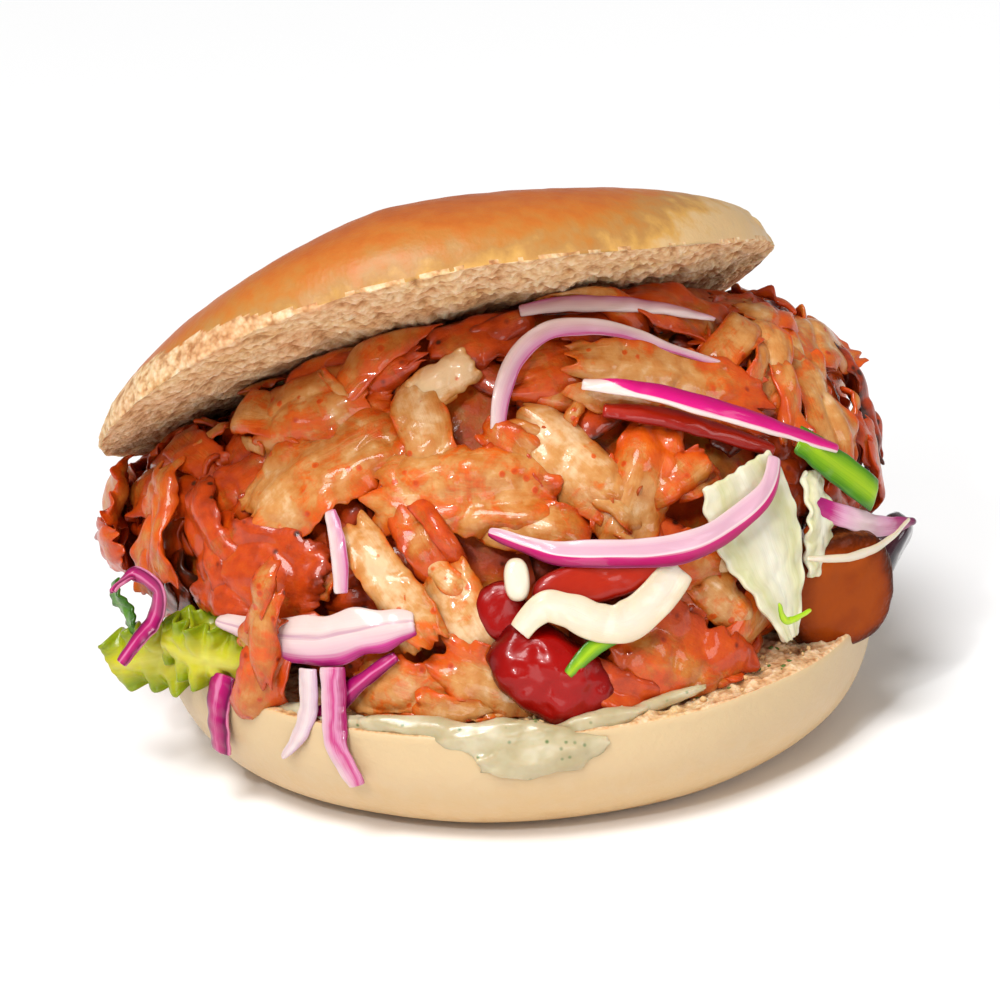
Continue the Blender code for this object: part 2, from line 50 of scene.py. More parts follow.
def addNode(tree, kind, inputs=None, stops=None, **settings):
    # an input is a number, a colour, a socket, or a node whose first output it takes
    made = tree.nodes.new("ShaderNode" + kind)
    for name, value in settings.items():
        setattr(made, name, value)
    for name, value in (inputs or {}).items():
        if isinstance(value, bpy.types.Node):
            value = value.outputs[0]
        if isinstance(value, bpy.types.NodeSocket):
            tree.links.new(value, made.inputs[name])
        else:
            made.inputs[name].default_value = value
    if stops:
        elements = made.color_ramp.elements
        while len(elements) < len(stops):
            elements.new(1)
        for element, (place, colour) in zip(elements, stops):
            element.position = place
            element.color = linear(colour)
    return made


def blend(tree, start, terms):
    # start plus, for each term, how far its source is past its middle, times its amount
    total = start
    for source, middle, amount in terms:
        shifted = addNode(tree, "Math", {0: source, 1: middle}, operation="SUBTRACT")
        scaled = addNode(tree, "Math", {0: shifted, 1: amount}, operation="MULTIPLY")
        total = addNode(tree, "Math", {0: total, 1: scaled}, operation="ADD")
    return total


def dress(tree, shader, colour, dents):
    # the surface's colour and its dents, one over the other: (height, strength, depth mm)
    tree.links.new(colour, shader.inputs["Base Color"])
    over = {}
    for height, strength, depth in dents:
        dent = addNode(tree, "Bump", {"Height": height, "Strength": strength,
                                      "Distance": depth * mm, **over})
        over = {"Normal": dent}
    tree.links.new(dent.outputs["Normal"], shader.inputs["Normal"])


def newMaterial(name, roughness=0.5, coat=0.0, coatRoughness=0.1, soft=0.0, softReach=1.0,
                gloss=0.5):
    material = bpy.data.materials.new(name)
    material.use_nodes = True
    shader = material.node_tree.nodes["Principled BSDF"]
    for socket, value in (("Roughness", roughness), ("Specular IOR Level", gloss),
                          ("Coat Weight", coat), ("Coat Roughness", coatRoughness),
                          ("Subsurface Weight", soft), ("Subsurface Radius", (1.0, 0.45, 0.25)),
                          ("Subsurface Scale", softReach * mm)):
        shader.inputs[socket].default_value = value
    return material, material.node_tree, shader


def settle(x, low=0.0, high=1.0):
    x = min(1, max(0, (x - low) / (high - low)))
    return x * x * (3 - 2 * x)


def lumps(point, size, seed=0.0):
    return noise.noise(point / size + Vector((seed, seed * 1.7, -seed)))


def ripple(*place):
    return noise.noise(Vector(place))


def finish(bm, name, material, nodes=(), thickness=0, smooth=1, thinEdge=1.0):
    mesh = bpy.data.meshes.new(name)
    bm.to_mesh(mesh)
    bm.free()
    mesh.shade_smooth()
    piece = bpy.data.objects.new(name, mesh)
    bpy.context.scene.collection.objects.link(piece)
    for one in material if isinstance(material, list) else [material]:
        mesh.materials.append(one)
    if thickness:
        wall = piece.modifiers.new("Thickness", "SOLIDIFY")
        wall.thickness = thickness
        wall.offset = 0
        if thinEdge < 1:
            piece.vertex_groups.new(name="thick")
            wall.vertex_group = "thick"
            wall.thickness_vertex_group = thinEdge
    if smooth:
        subdivide = piece.modifiers.new("Smooth", "SUBSURF")
        subdivide.levels = subdivide.render_levels = smooth
    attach(piece, "root")
    if nodes:
        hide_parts(*nodes)
    return piece


# The two halves of the roll

roll = {
    "radius": 75 * mm, "lowerHeight": 25 * mm, "rounding": 19 * mm, "foot": 50 * mm,
    "upperHeight": 22 * mm, "fullness": 2.3, "frontSwell": 0.22, "leftSlope": 0.42,
    "centre": Vector((-15, 10, 76.5)) * mm,
    "tilt": Euler((math.radians(-23), math.radians(-11.3), 0)),
    "frontLift": 7.8 * mm, "sideSlew": 4.8 * mm, "tornEnd": 75 * mm,
    "steps": 480, "crownStep": 1.3 * mm, "crumbRows": 46, "crumbStep": 0.65 * mm,
    "innerRows": 16, "tornRows": 11 * mm, "crownPoints": 200, "roundingPoints": 18,
    # below this height the upper half is its cut face, and above that one the lower half is
    "upperCut": 0.01 * mm, "lowerCut": 24.85 * mm,
}


def upperSettle(x, y):
    along = x / roll["radius"]
    lift = roll["frontLift"] * (-y / roll["radius"]) * (1 - along ** 2)
    return lift + roll["sideSlew"] * along ** 3


def upperMatrix():
    return Matrix.LocRotScale(roll["centre"], roll["tilt"], None)


def spinProfile(profile, steps):
    bm = bmesh.new()
    corners = [bm.verts.new((radius, 0, height)) for radius, height in profile]
    rows = [bm.edges.new(pair) for pair in zip(corners, corners[1:])]
    bmesh.ops.spin(bm, geom=corners + rows, cent=(0, 0, 0), axis=(0, 0, 1),
                   angle=math.tau, steps=steps, use_merge=True)
    bmesh.ops.remove_doubles(bm, verts=bm.verts, dist=0.02 * mm)
    bmesh.ops.recalc_face_normals(bm, faces=bm.faces)
    return bm


def evenRows(points, step):
    # the same profile with its points a step apart
    rows, left = [points[0]], step
    for start, end in zip(points, points[1:]):
        length = math.dist(start, end)
        while left < length:
            share = left / length
            rows.append(tuple(a + (b - a) * share for a, b in zip(start, end)))
            left += step
        left -= length
    return rows


def crumbRelief(point, seed):
    # torn crumb: slow tears, then soft grains 2.1 and 1.3 mm across with pits between them
    tears = 1.3 * mm * lumps(point, 11 * mm, seed) + 0.9 * mm * lumps(point, 5 * mm, seed)
    grain = 0
    for size, height in ((2.1 * mm, 0.9), (1.3 * mm, 0.5)):
        near = noise.voronoi(point / size + Vector((seed, 0, 0)))[0][0]
        grain += height * (0.42 - near)
    return tears + 1.3 * mm * grain, grain


def addCrumbRows(profile, radius, height):
    # close rows by the rim, where the cut face shows
    for i in range(1, roll["crumbRows"]):
        profile.append((radius - i * roll["crumbStep"], height))
    inner = profile[-1][0]
    for i in range(1, roll["innerRows"]):
        profile.append((inner * (1 - i / roll["innerRows"]), height))
    profile.append((0, height))


def tornHeight(point):
    # how far up the rim the crumb shows: a little everywhere, most at the front left
    side = settle(-point.x, 8 * mm, 64 * mm) * settle(-point.y, -35 * mm, 15 * mm)
    uneven = lumps(point, 7 * mm, 2) + 0.6 * lumps(point, 2.5 * mm, 4)
    return (0.5 + 8.5 * side + (0.6 + 1.6 * side) * uneven) * mm


def buildUpper(crust, crumb):
    size = roll["radius"]
    profile = []
    for i in range(roll["crownPoints"] + 1):
        angle = math.radians(90 * (1 - i / roll["crownPoints"]))
        reach = size * math.cos(angle) ** (2 / roll["fullness"]) if i else 0
        profile.append((reach, roll["upperHeight"] * math.sin(angle) ** (2 / roll["fullness"])))
    top = [point for point in profile if point[1] > roll["tornRows"]]
    rim = profile[len(top) - 1:]
    profile = evenRows(top, roll["crownStep"]) + evenRows(rim, roll["crumbStep"]) + [(size, 0)]
    addCrumbRows(profile, size, 0)
    bm = spinProfile(profile, roll["steps"])
    crown = bm.verts.layers.float.new("crown")
    grain = bm.verts.layers.float.new("grain")
    matrix = upperMatrix()
    for face in bm.faces:
        centre = face.calc_center_median()
        face.material_index = int(centre.z < max(roll["upperCut"], tornHeight(centre)))
    for vertex in bm.verts:
        x, y, z = vertex.co
        fromRim = 1 - math.hypot(x, y) / size
        vertex[crown] = (0.2 + 0.8 * z / roll["upperHeight"]
                         - 0.5 * settle(x, 36 * mm, 76 * mm))
        left = max(0, -x / size)
        relief, vertex[grain] = crumbRelief(vertex.co, 3.0)
        if z < roll["upperCut"]:
            z -= relief * settle(fromRim, -0.01, 0.03)
        else:
            relief *= 0.45 * settle(tornHeight(vertex.co) - z, 0, 1.5 * mm)
            x, y = x * (1 + relief / size), y * (1 + relief / size)
            z += 0.7 * mm * lumps(vertex.co, 24 * mm, 5) + 0.14 * mm * lumps(vertex.co, 4 * mm, 5)
        edge = 0.6 * mm * lumps(Vector((x, y, 0)), 7 * mm, 9) * settle(z, 5 * mm, 0)
        x, y = x * (1 + edge / size), y * (1 + edge / size)
        x *= 1 - 0.04 * left
        z *= (1 - roll["frontSwell"] * y / size) * (1 - roll["leftSlope"] * left)
        torn = roll["tornEnd"] - 0.6 * z + 0.8 * mm * math.sin(y * 400)
        torn += 1.2 * mm * lumps(Vector((0, y, z)), 3 * mm, 2)
        if x > torn:
            vertex[crown] = -0.3
            x = torn + 0.1 * (x - torn)
        vertex.co = matrix @ Vector((x, y, z + upperSettle(x, y)))
    bmesh.ops.recalc_face_normals(bm, faces=bm.faces)
    return finish(bm, "upper_roll_half", [crust, crumb], ["roll_upper"], smooth=0)


def lowerRelief(point):
    relief, grain = crumbRelief(point, 7.0)
    return relief - 0.3 * mm, grain


def buildLower(crust, crumb):
    size, rounding = roll["radius"], roll["rounding"]
    profile = [(0, 0), (roll["foot"] * 0.6, 0), (roll["foot"], 0)]
    for i in reversed(range(roll["roundingPoints"])):
        angle = math.radians(90 * i / roll["roundingPoints"])
        reach = size - rounding + rounding * math.cos(angle)
        if reach > roll["foot"]:
            profile.append((reach, rounding * (1 - math.sin(angle))))
    for height in (20.5, 22, 23.3, 24.2):
        profile.append((size, height * mm))
    profile += [(size - 0.3 * mm, 24.8 * mm), (size - 1 * mm, roll["lowerHeight"])]
    addCrumbRows(profile, size - 1 * mm, roll["lowerHeight"])
    bm = spinProfile(profile, roll["steps"])
    crown = bm.verts.layers.float.new("crown")
    grain = bm.verts.layers.float.new("grain")
    for face in bm.faces:
        face.material_index = int(face.calc_center_median().z > roll["lowerCut"])
    for vertex in bm.verts:
        x, y, z = vertex.co
        fromRim = 1 - math.hypot(x, y) / size
        vertex[crown] = 1 - z / roll["lowerHeight"]
        if z > roll["lowerCut"]:
            relief, vertex[grain] = lowerRelief(vertex.co)
            z += relief * settle(fromRim, 0.01, 0.04)
        elif z > 0.5 * mm:
            swell = 1 + (0.5 * mm * lumps(vertex.co, 22 * mm, 8) - 0.3 * mm) / size
            x, y = x * swell, y * swell
            z += 0.5 * mm * lumps(vertex.co, 30 * mm, 4) * settle(z, 15 * mm, 24 * mm)
        vertex.co = (x, y, z)
    bmesh.ops.recalc_face_normals(bm, faces=bm.faces)
    return finish(bm, "lower_roll_half", [crust, crumb], ["roll_lower"], smooth=0)


def makeCrust(name, stops, unevenness):
    # egg-washed milk dough, baked: a satin skin; the upper half browns towards its crown, the
    # lower half is darker towards the bottom
    material, tree, shader = newMaterial(name, roughness=0.44, coat=0.1, coatRoughness=0.3,
                                         soft=0.12, softReach=3, gloss=0.3)
    where = addNode(tree, "TexCoord").outputs["Object"]
    crown = addNode(tree, "Attribute", attribute_name="crown").outputs["Fac"]
    broad = addNode(tree, "TexNoise", {"Vector": where, "Scale": 45.0, "Detail": 3.0})
    fine = addNode(tree, "TexNoise", {"Vector": where, "Scale": 900.0, "Detail": 4.0})
    skin = addNode(tree, "TexNoise", {"Vector": where, "Scale": 260.0, "Detail": 5.0})
    browned = blend(tree, crown, ((broad, 0.5, unevenness), (skin, 0.5, 0.55)))
    colour = addNode(tree, "ValToRGB", {"Fac": browned}, stops)
    dress(tree, shader, colour.outputs["Color"], ((skin, 0.5, 0.35), (fine, 0.6, 0.2)))
    return material


def makeCrumb():
    # soft white crumb, matt; painted light on its grain tops and painted shade in the pits
    # between them
    material, tree, shader = newMaterial("softBreadCrumb", roughness=0.9, soft=0.35, softReach=3)
    where = addNode(tree, "TexCoord").outputs["Object"]
    grain = addNode(tree, "Attribute", attribute_name="grain").outputs["Fac"]
    pores = addNode(tree, "TexVoronoi", {"Vector": where, "Scale": 1100.0})
    stain = addNode(tree, "TexNoise", {"Vector": where, "Scale": 60.0, "Detail": 4.0})
    fluff = addNode(tree, "TexNoise", {"Vector": where, "Scale": 900.0, "Detail": 4.0})
    # painted shade: the colour darkens down into the pits between the grains, and painted light
    # lightens their tops
    paintedPitShade = blend(tree, grain, ((pores, 0.0, -0.35),))
    depth = addNode(tree, "MapRange", {"Value": paintedPitShade, "From Min": -0.65, "From Max": 0.2})
    colour = addNode(tree, "ValToRGB", {"Fac": depth},
                     [(0.0, "AE7A4A"), (0.3, "D2A676"), (0.6, "E2C298"), (1.0, "EED6B6")])
    warm = addNode(tree, "ValToRGB", {"Fac": stain},
                   [(0.3, "F0D2BC"), (0.5, "FFFFFF"), (0.75, "F6E6C0")])
    mixed = addNode(tree, "Mix", {0: 0.8, 6: colour, 7: warm}, data_type="RGBA",
                    blend_type="MULTIPLY")
    dress(tree, shader, mixed.outputs[2], ((pores, 0.7, -0.4), (fluff, 0.6, 0.3)))
    return material


upperCrust = makeCrust(
    "goldenMilkCrust",
    [(0.0, "D0AC7A"), (0.13, "CA984E"), (0.26, "B28044"), (0.38, "BA7630"), (0.52, "C06C24"),
     (0.68, "BC601C"), (0.85, "B25618"), (1.0, "A64E16")], 0.34)
# the lower half's crown value grows from the cut face down to the foot, so this crust is darker
# towards the bottom
lowerCrust = makeCrust(
    "paleMilkCrust",
    [(0.0, "CDB288"), (0.4, "CAAE86"), (0.8, "CAA878"), (1.0, "BE945C")], 0.25)
breadCrumb = makeCrumb()
buildUpper(upperCrust, breadCrumb)
buildLower(lowerCrust, breadCrumb)
print("roll halves done")


# The heap, as a surface that everything in the filling is placed on

heap = {
    "foot": Vector((-2, 3)) * mm, "footRadius": 62 * mm,
    "crown": Vector((8, 12)) * mm, "crownRadii": Vector((54, 46)) * mm,
    "bulge": 5 * mm, "bulgeRight": 13 * mm, "bulgeLeft": 12 * mm, "bulgeFront": 2 * mm,
    "gap": 0.6 * mm,
    # what would pierce a cut face: how near (mm), how deep it may press (mm), and the share of
    # the radius over which the rim frees it
    "near": 3, "press": 2.0, "rim": (0.98, 1.06), "lowerNear": 0.4 * mm, "lowerPress": 0.3 * mm,
}


def heapPoint(around, up, share=1.0):
    side, front = math.sin(math.radians(around)), math.cos(math.radians(around))
    foot = Vector((heap["foot"].x + heap["footRadius"] * share * side,
                   heap["foot"].y - heap["footRadius"] * share * front,
                   roll["lowerHeight"] + heap["gap"]))
    x = heap["crown"].x + heap["crownRadii"].x * share * side
    y = heap["crown"].y - heap["crownRadii"].y * share * front
    crown = upperMatrix() @ Vector((x, y, upperSettle(x, y) - heap["gap"]))
    bulge = heap["bulge"] + heap["bulgeFront"] * max(0, front) ** 2
    bulge += heap["bulgeRight"] * max(0, side) ** 2 + heap["bulgeLeft"] * max(0, -side) ** 2
    outward = Vector((side, -front, 0)) * bulge * 4 * up * (1 - up) * share
    return foot.lerp(crown, up) + outward


def heapFrame(around, up, out, turn=0.0, swing=0.0):
    # x along the piece, y across it, z out of the heap; swing turns its face round the wall
    here = heapPoint(around, up)
    side = (heapPoint(around + 0.5, up) - heapPoint(around - 0.5, up)).normalized()
    rise = (heapPoint(around, up + 0.01) - heapPoint(around, up - 0.01)).normalized()
    outward = side.cross(rise).normalized()
    facing = Matrix.Rotation(math.radians(swing), 3, rise)
    normal = facing @ outward
    along = Matrix.Rotation(math.radians(turn), 3, normal) @ facing @ side
    placed = Matrix((along, normal.cross(along), normal)).transposed().to_4x4()
    placed.translation = here + outward * out
    return placed


def keepBetween(point):
    # what would go through either cut face lies against it instead
    matrix = upperMatrix()
    inside = matrix.inverted() @ point
    reach = math.hypot(inside.x, inside.y) / roll["radius"]
    over = (inside.z - upperSettle(inside.x, inside.y)) / mm + heap["near"]
    if over > 0 and reach < heap["rim"][1]:
        pressed = heap["press"] * (1 - math.exp(-over / heap["press"]))
        inside.z -= (over - pressed) * mm * (1 - settle(reach, *heap["rim"]))
        point = matrix @ inside
    under = roll["lowerHeight"] + heap["lowerNear"] - point.z
    if under > 0 and math.hypot(point.x, point.y) < roll["radius"] - 1 * mm:
        lifted = point.z + under + heap["lowerPress"] * (1 - math.exp(-under / mm))
        point = Vector((point.x, point.y, lifted))
    return point


def arcOffset(share, halfSize, degrees):
    angle = math.radians(degrees)
    if abs(angle) < 0.01:
        return halfSize * share, 0.0
    radius = 2 * halfSize / angle
    return radius * math.sin(share * angle / 2), -radius * (1 - math.cos(share * angle / 2))


def smoothAlong(points, share):
    place = share * (len(points) - 1)
    i = min(int(place), len(points) - 2)
    t = place - i
    a, b, c, d = [Vector(points[min(max(k, 0), len(points) - 1)]) for k in range(i - 1, i + 3)]
    return 0.5 * ((2 * b) + (c - a) * t + (2 * a - 5 * b + 4 * c - d) * t ** 2
                  + (3 * b - 3 * c + d - a) * t ** 3)


def addGrid(bm, cells):
    # a flat grid from -1 to 1 with its own UV map: u along it, v across
    if not bm.loops.layers.uv:
        bm.loops.layers.uv.new("UVMap")
    made = bmesh.ops.create_grid(bm, x_segments=cells[0], y_segments=cells[1], size=1,
                                 calc_uvs=True)
    return made["verts"]


def buildCore(material):
    rows, steps = 26, 72
    bm = bmesh.new()
    bmesh.ops.create_uvsphere(bm, u_segments=steps, v_segments=rows, radius=1)
    tone = bm.verts.layers.float.new("tone")
    for vertex in bm.verts:
        row = math.degrees(math.acos(max(-1, min(1, -vertex.co.z)))) * rows / 180
        share = min(1, row / 3, (rows - row) / 3)
        up = min(1, max(0, (row - 3) / (rows - 6)))
        around = math.degrees(math.atan2(vertex.co.x, -vertex.co.y))
        point = heapPoint(around, up, share * 0.98)
        inward = (Vector((heap["foot"].x, heap["foot"].y, point.z)) - point).normalized()
        vertex.co = point + inward * (2.6 * mm + 1.6 * mm * lumps(point, 6 * mm, 4))
        vertex[tone] = 0.55 + 0.2 * lumps(point, 9 * mm, 6)
    return finish(bm, "heap_inside", material, ["meat_heap"], smooth=1)


# Shaved meat. name: (around, up, length mm, width mm, turn, bend, hook, cup, tip, out mm,
# tone at the near end, tone at the far end); tone runs from 0, pale, to 1, charred
slices = {
    "fold_loop": (-41, 0.86, 26, 11, 160, 60, 150, 20, 10, 5, 0.2, 0.34),
    "shoulder": (-31, 0.85, 27, 17, 8, 40, 0, 95, 0, 4, 0.34, 0.28),
    "broad": (-27, 0.70, 40, 21, 28, 30, 20, 40, 0, 4, 0.2, 0.36),
    "upper_roll": (-22, 0.92, 32, 14, 8, 20, 0, 130, 0, 2, 0.4, 0.62),
    "centre_big": (-2, 0.58, 38, 21, -8, 35, 0, 70, 0, 5, 0.22, 0.36),
    "neck": (-8, 0.75, 25, 11, 100, 30, 20, 60, 0, 3, 0.28, 0.2),
    "pale_chip": (-3, 0.85, 14, 9, 20, 20, 0, 20, 8, 3, 0.04, 0.0),
    "red_lump": (5, 0.93, 20, 13, 10, 40, 0, 60, 0, 2, 0.6, 0.62),
    "left_roll": (-68, 0.69, 38, 16, 2, 30, 20, 80, 0, 4, 0.46, 0.62),
    "left_end": (-84, 0.56, 24, 19, 35, 20, -30, 40, 10, 7, 0.34, 0.44),
    "striated": (-62, 0.55, 27, 12, 100, 30, 0, 70, 0, 6, 0.4, 0.24),
    "red_ridge": (-50, 0.52, 24, 14, -55, 40, 0, 80, 0, 5, 0.62, 0.66),
    "big_red": (-41, 0.41, 34, 24, -12, 50, 0, 90, 0, 5, 0.56, 0.62),
    "dark_low": (-82, 0.42, 26, 11, 15, 20, 20, 60, 0, 8, 0.62, 0.44),
    "red_mid": (-46, 0.67, 20, 12, 25, 30, 0, 50, 0, 2, 0.6, 0.54),
    "tail_top": (-37, 0.25, 24, 8, 80, 40, 30, 60, 5, 14, 0.46, 0.4),
    "tail_loop": (-41, 0.10, 26, 12, 66, 50, 40, 90, 0, 13, 0.44, 0.48),
    "arch": (-12, 0.50, 36, 8, -66, 90, 20, 50, 5, 5, 0.4, 0.5),
    "pale_diagonal": (-16, 0.36, 30, 10, -58, 20, 0, 30, 0, 8, 0.1, 0.18),
    "pale_curve": (-5, 0.27, 22, 14, -60, 60, 0, 50, 0, 6, 0.2, 0.08),
    "rim_gold": (-17, 0.04, 26, 18, -20, 40, 0, 80, 0, 7, 0.26, 0.32),
    "shreds": (-3, 0.08, 24, 14, -30, 20, 0, 40, 0, 6, 0.34, 0.18),
    "rim_curl": (-9, 0.00, 20, 9, -15, 40, 40, 60, 0, 8, 0.3, 0.2),
    "centre_roll": (17, 0.62, 28, 17, -52, 40, 0, 130, 0, 4, 0.1, 0.3),
    "small_curl": (8, 0.66, 16, 8, -40, 40, 110, 40, 0, 4, 0.44, 0.4),
    "orange_sheet": (28, 0.53, 28, 14, 62, 30, 0, 50, 0, 4, 0.28, 0.42),
    "orange_flap": (34, 0.53, 15, 8, 25, 20, 0, 30, 10, 5, 0.34, 0.4),
    "big_right": (38, 0.74, 44, 17, -22, 25, 0, 45, 0, 5, 0.14, 0.52),
    "ribbon_outer": (60, 0.76, 30, 12, 62, 110, 30, 20, 5, 6, 0.32, 0.3),
    "ribbon_inner": (53, 0.80, 24, 9, 30, 60, 30, 30, 5, 6, 0.36, 0.3),
    "ribbon_tail": (59, 0.64, 18, 6, 82, 30, 0, 40, 0, 6, 0.38, 0.34),
    "crown_orange": (49, 0.91, 28, 16, -30, 30, 0, 40, 0, 3, 0.48, 0.54),
    "crown_red": (72, 0.87, 26, 12, -16, 50, 0, 60, 0, 3, 0.6, 0.68),
    "jagged": (80, 0.76, 34, 16, -22, 20, 0, 30, 8, 5, 0.34, 0.28),
    "pink_upright": (69, 0.60, 26, 16, 82, 30, 0, 50, 0, 5, 0.36, 0.28),
    "burnt_edge": (89, 0.55, 28, 12, 84, 30, 0, 50, 0, 6, 0.84, 0.74),
    "right_red": (84, 0.38, 22, 13, -60, 30, 0, 50, 0, 6, 0.54, 0.5),
    "low_orange": (33, 0.27, 25, 16, 22, 30, 0, 40, 0, 4, 0.5, 0.46),
    "low_pale": (39, 0.19, 18, 10, -52, 40, 0, 60, 0, 5, 0.26, 0.18),
    "front_glazed": (30, 0.07, 33, 23, -38, 40, 0, 80, 0, 9, 0.46, 0.56),
    "front_fold": (43, 0.08, 26, 14, 34, 40, 0, 100, 0, 5, 0.4, 0.32),
    "upper_brown": (20, 0.84, 24, 15, 5, 30, 0, 40, 0, 2, 0.52, 0.46),
    "upper_red": (31, 0.91, 20, 12, 10, 30, 0, 50, 0, 2, 0.6, 0.66),
    "left_crown": (-88, 0.84, 30, 18, 10, 30, 0, 60, 0, 5, 0.5, 0.44),
}


def slicePlace(placed, row, seed):
    length, width, bend, hook, cup, tip = row[2] * mm, row[3] * mm, *row[5:9]
    lean = Matrix.Rotation(math.radians(-tip), 4, "Y")
    lean @= Matrix.Rotation(math.radians(9 * math.sin(seed * 2.4)), 4, "X")

    def place(along, across):
        # torn ends and sides: notches with points between them
        ragged = 1 + 0.22 * ripple(along * 1.3, seed, across * 0.4)
        ragged += 0.12 * abs(across) * ripple(along * 5, seed, across)
        ragged -= 0.34 * abs(across) ** 3 * abs(ripple(along * 6, seed, across))
        narrowing = 1 - 0.28 * along ** 4
        reach = 1.04 + 0.14 * ripple(seed, across * 1.7, along)
        reach += 0.18 * abs(along) ** 3 * ripple(seed + 4, across * 3, along)
        reach -= 0.36 * abs(along) ** 3 * abs(ripple(seed + 9, across * 5, along))
        x, zBend = arcOffset(along * reach, length / 2, bend)
        y, zCup = arcOffset(across * ragged * narrowing, width / 2, cup * 0.62)
        curl = max(0, along - 0.25)
        x -= length * 0.30 * curl ** 2 * math.sin(math.radians(abs(hook) / 2))
        zHook = -length * 0.34 * curl ** 1.6 * math.sin(math.radians(hook / 1.5))
        # broad folds along the slice, a few sharp rucks, and edges that turn up or down
        flat = Vector((x, y, 0))
        wave = 1.6 * mm * ripple(x * 80, y * 80, seed)
        wave += 2.2 * mm * ripple(x * 36, y * 150, seed + 7)
        wave += 0.4 * mm * ripple(x * 110, y * 420, seed + 5)
        wave += 0.22 * mm * lumps(flat, 3.5 * mm, seed)
        wave -= 0.7 * mm * (1 - settle(abs(lumps(flat, 13 * mm, seed + 3)), 0, 0.12))
        wave += 4.0 * mm * abs(across) ** 3 * ripple(along * 1.6, seed * 3, across)
        wave += 3.6 * mm * abs(along) ** 4 * ripple(seed * 2, across * 2, along)
        return keepBetween(placed @ lean @ Vector((x, y, zBend + zCup + zHook + wave)))

    return place


def addSlice(bm, row, seed, cell=0.95):
    tone, edge = bm.verts.layers.float["tone"], bm.verts.layers.float["edge"]
    thick = bm.verts.layers.deform.verify()
    around, up, length, width, turn = row[:5]
    placed = heapFrame(around, up, row[9] * mm, turn)
    place = slicePlace(placed, row, seed)
    for vertex in addGrid(bm, (max(6, round(length / cell)), max(4, round(width / cell)))):
        along, across = vertex.co.x, vertex.co.y
        vertex[tone] = row[10] + (row[11] - row[10]) * (along + 1) / 2
        vertex[edge] = max(abs(along) ** 4, abs(across) ** 3)
        vertex[thick][0] = (1 - abs(along) ** 5) * (1 - abs(across) ** 4)
        vertex.co = place(along, across)


# The smaller pieces between the slices. Each has the values of a slice, drawn from these ranges;
# cell is how fine its mesh is, and seed is where its own waves start
fill = {
    "seed": 21,
    # painted shade: the bits that fill the gaps between the slices get dark tones, 0.45 to 0.9,
    # which stand in for the shade in those gaps
    "gapShadeBits": {"count": 110, "cell": 1.75, "seed": 100, "ranges": (
        (-100, 100), (0.04, 0.96), (11, 20), (7, 12), (-90, 90), (10, 70), 0, (20, 90),
        (-6, 12), (-2.5, 1.0), (0.45, 0.85), (0.45, 0.9))},
    "sideBits": {"count": 36, "cell": 1.9, "seed": 200, "ranges": (
        (68, 112), (0.1, 0.92), (14, 24), (9, 14), (-90, 90), (10, 50), 0, (20, 70), 0,
        (0, 3), (0.5, 0.8), (0.5, 0.9))},
    "rearBits": {"count": 80, "cell": 2.0, "seed": 300, "ranges": (
        (100, 260), (0.03, 0.97), (11, 20), (6, 11), (-90, 90), (10, 70), 0, (20, 90),
        (-6, 12), (1, 5.5), (0.1, 0.7), (0.2, 0.75))},
    "shreds": {"count": 60, "cell": 1.0, "seed": 500, "ranges": (
        (-95, 100), (0.02, 0.97), (6, 13), (1.6, 3.2), (-90, 90), (10, 120), (0, 90), 30,
        (-6, 20), (1.5, 5), (0.1, 0.6), (0.1, 0.75))},
    "foldCell": 1.1, "foldSeed": 700, "rearCell": 1.6,
}
# courses of slices on the rear side, as the solids have them
rear = {
    "seed": 11, "toneSeed": 12, "courses": (0.16, 0.48, 0.82), "each": 5, "first": 110,
    "apart": 34, "shift": 13, "tones": ((0.1, 0.6), (0.15, 0.7)),
    "ranges": ((-4, 4), (-0.05, 0.05), (40, 48), (22, 27), (-70, 70), (10, 50), 0, (30, 90),
               (-4, 8), (1, 5)),
}


def drawRow(draw, ranges):
    return tuple(draw.uniform(*value) if isinstance(value, tuple) else value for value in ranges)


def foldRow(row, draw):
    # a narrow rolled fold that lies along a slice, as where the knife has rucked it up
    around, up, length, width, turn, bend = row[:6]
    out, near, far = row[9:]
    along, across = draw.uniform(-0.4, 0.4) * length, draw.uniform(-0.5, 0.5) * width
    sine, cosine = math.sin(math.radians(turn)), math.cos(math.radians(turn))
    return (around + (along * cosine - across * sine) / 1.1,
            up + (along * sine + across * cosine) / 50,
            length * draw.uniform(0.5, 0.85), max(5, width * draw.uniform(0.35, 0.65)),
            turn + draw.uniform(-25, 25), bend + draw.uniform(0, 40),
            draw.uniform(0, 70), draw.uniform(20, 110), draw.uniform(-4, 16),
            out + draw.uniform(-0.8, 1.4), near + draw.uniform(-0.12, 0.16),
            far + draw.uniform(-0.12, 0.16))


def newSliceMesh():
    bm = bmesh.new()
    bm.verts.layers.float.new("tone")
    bm.verts.layers.float.new("edge")
    return bm


def finishMeat(bm, name, material, thickness, thinEdge=1.0):
    finish(bm, name, material, (), thickness=thickness * mm, thinEdge=thinEdge)


def buildSlices(material):
    groups = {"left": newSliceMesh(), "middle": newSliceMesh(), "right": newSliceMesh()}
    folds = newSliceMesh()
    draw = random.Random(fill["seed"] + 1)
    for seed, row in enumerate(slices.values()):
        side = "left" if row[0] < -35 else "middle" if row[0] < 25 else "right"
        addSlice(groups[side], row, seed)
        addSlice(folds, foldRow(row, draw), fill["foldSeed"] + 3 * seed, fill["foldCell"])
    for side, bm in groups.items():
        finishMeat(bm, "shaved_meat_" + side, material, 2.2, 0.2)
    finishMeat(folds, "meat_folds", material, 1.5, 0.25)


def rearRows():
    draw = random.Random(rear["seed"])
    rows = []
    for course, up in enumerate(rear["courses"]):
        for step in range(rear["each"]):
            around = rear["first"] + rear["apart"] * step + rear["shift"] * (course % 2)
            row = drawRow(draw, rear["ranges"])
            rows.append((around + row[0], up + row[1]) + row[2:])
    tones = random.Random(rear["toneSeed"])
    return [row + drawRow(tones, rear["tones"]) for row in rows]


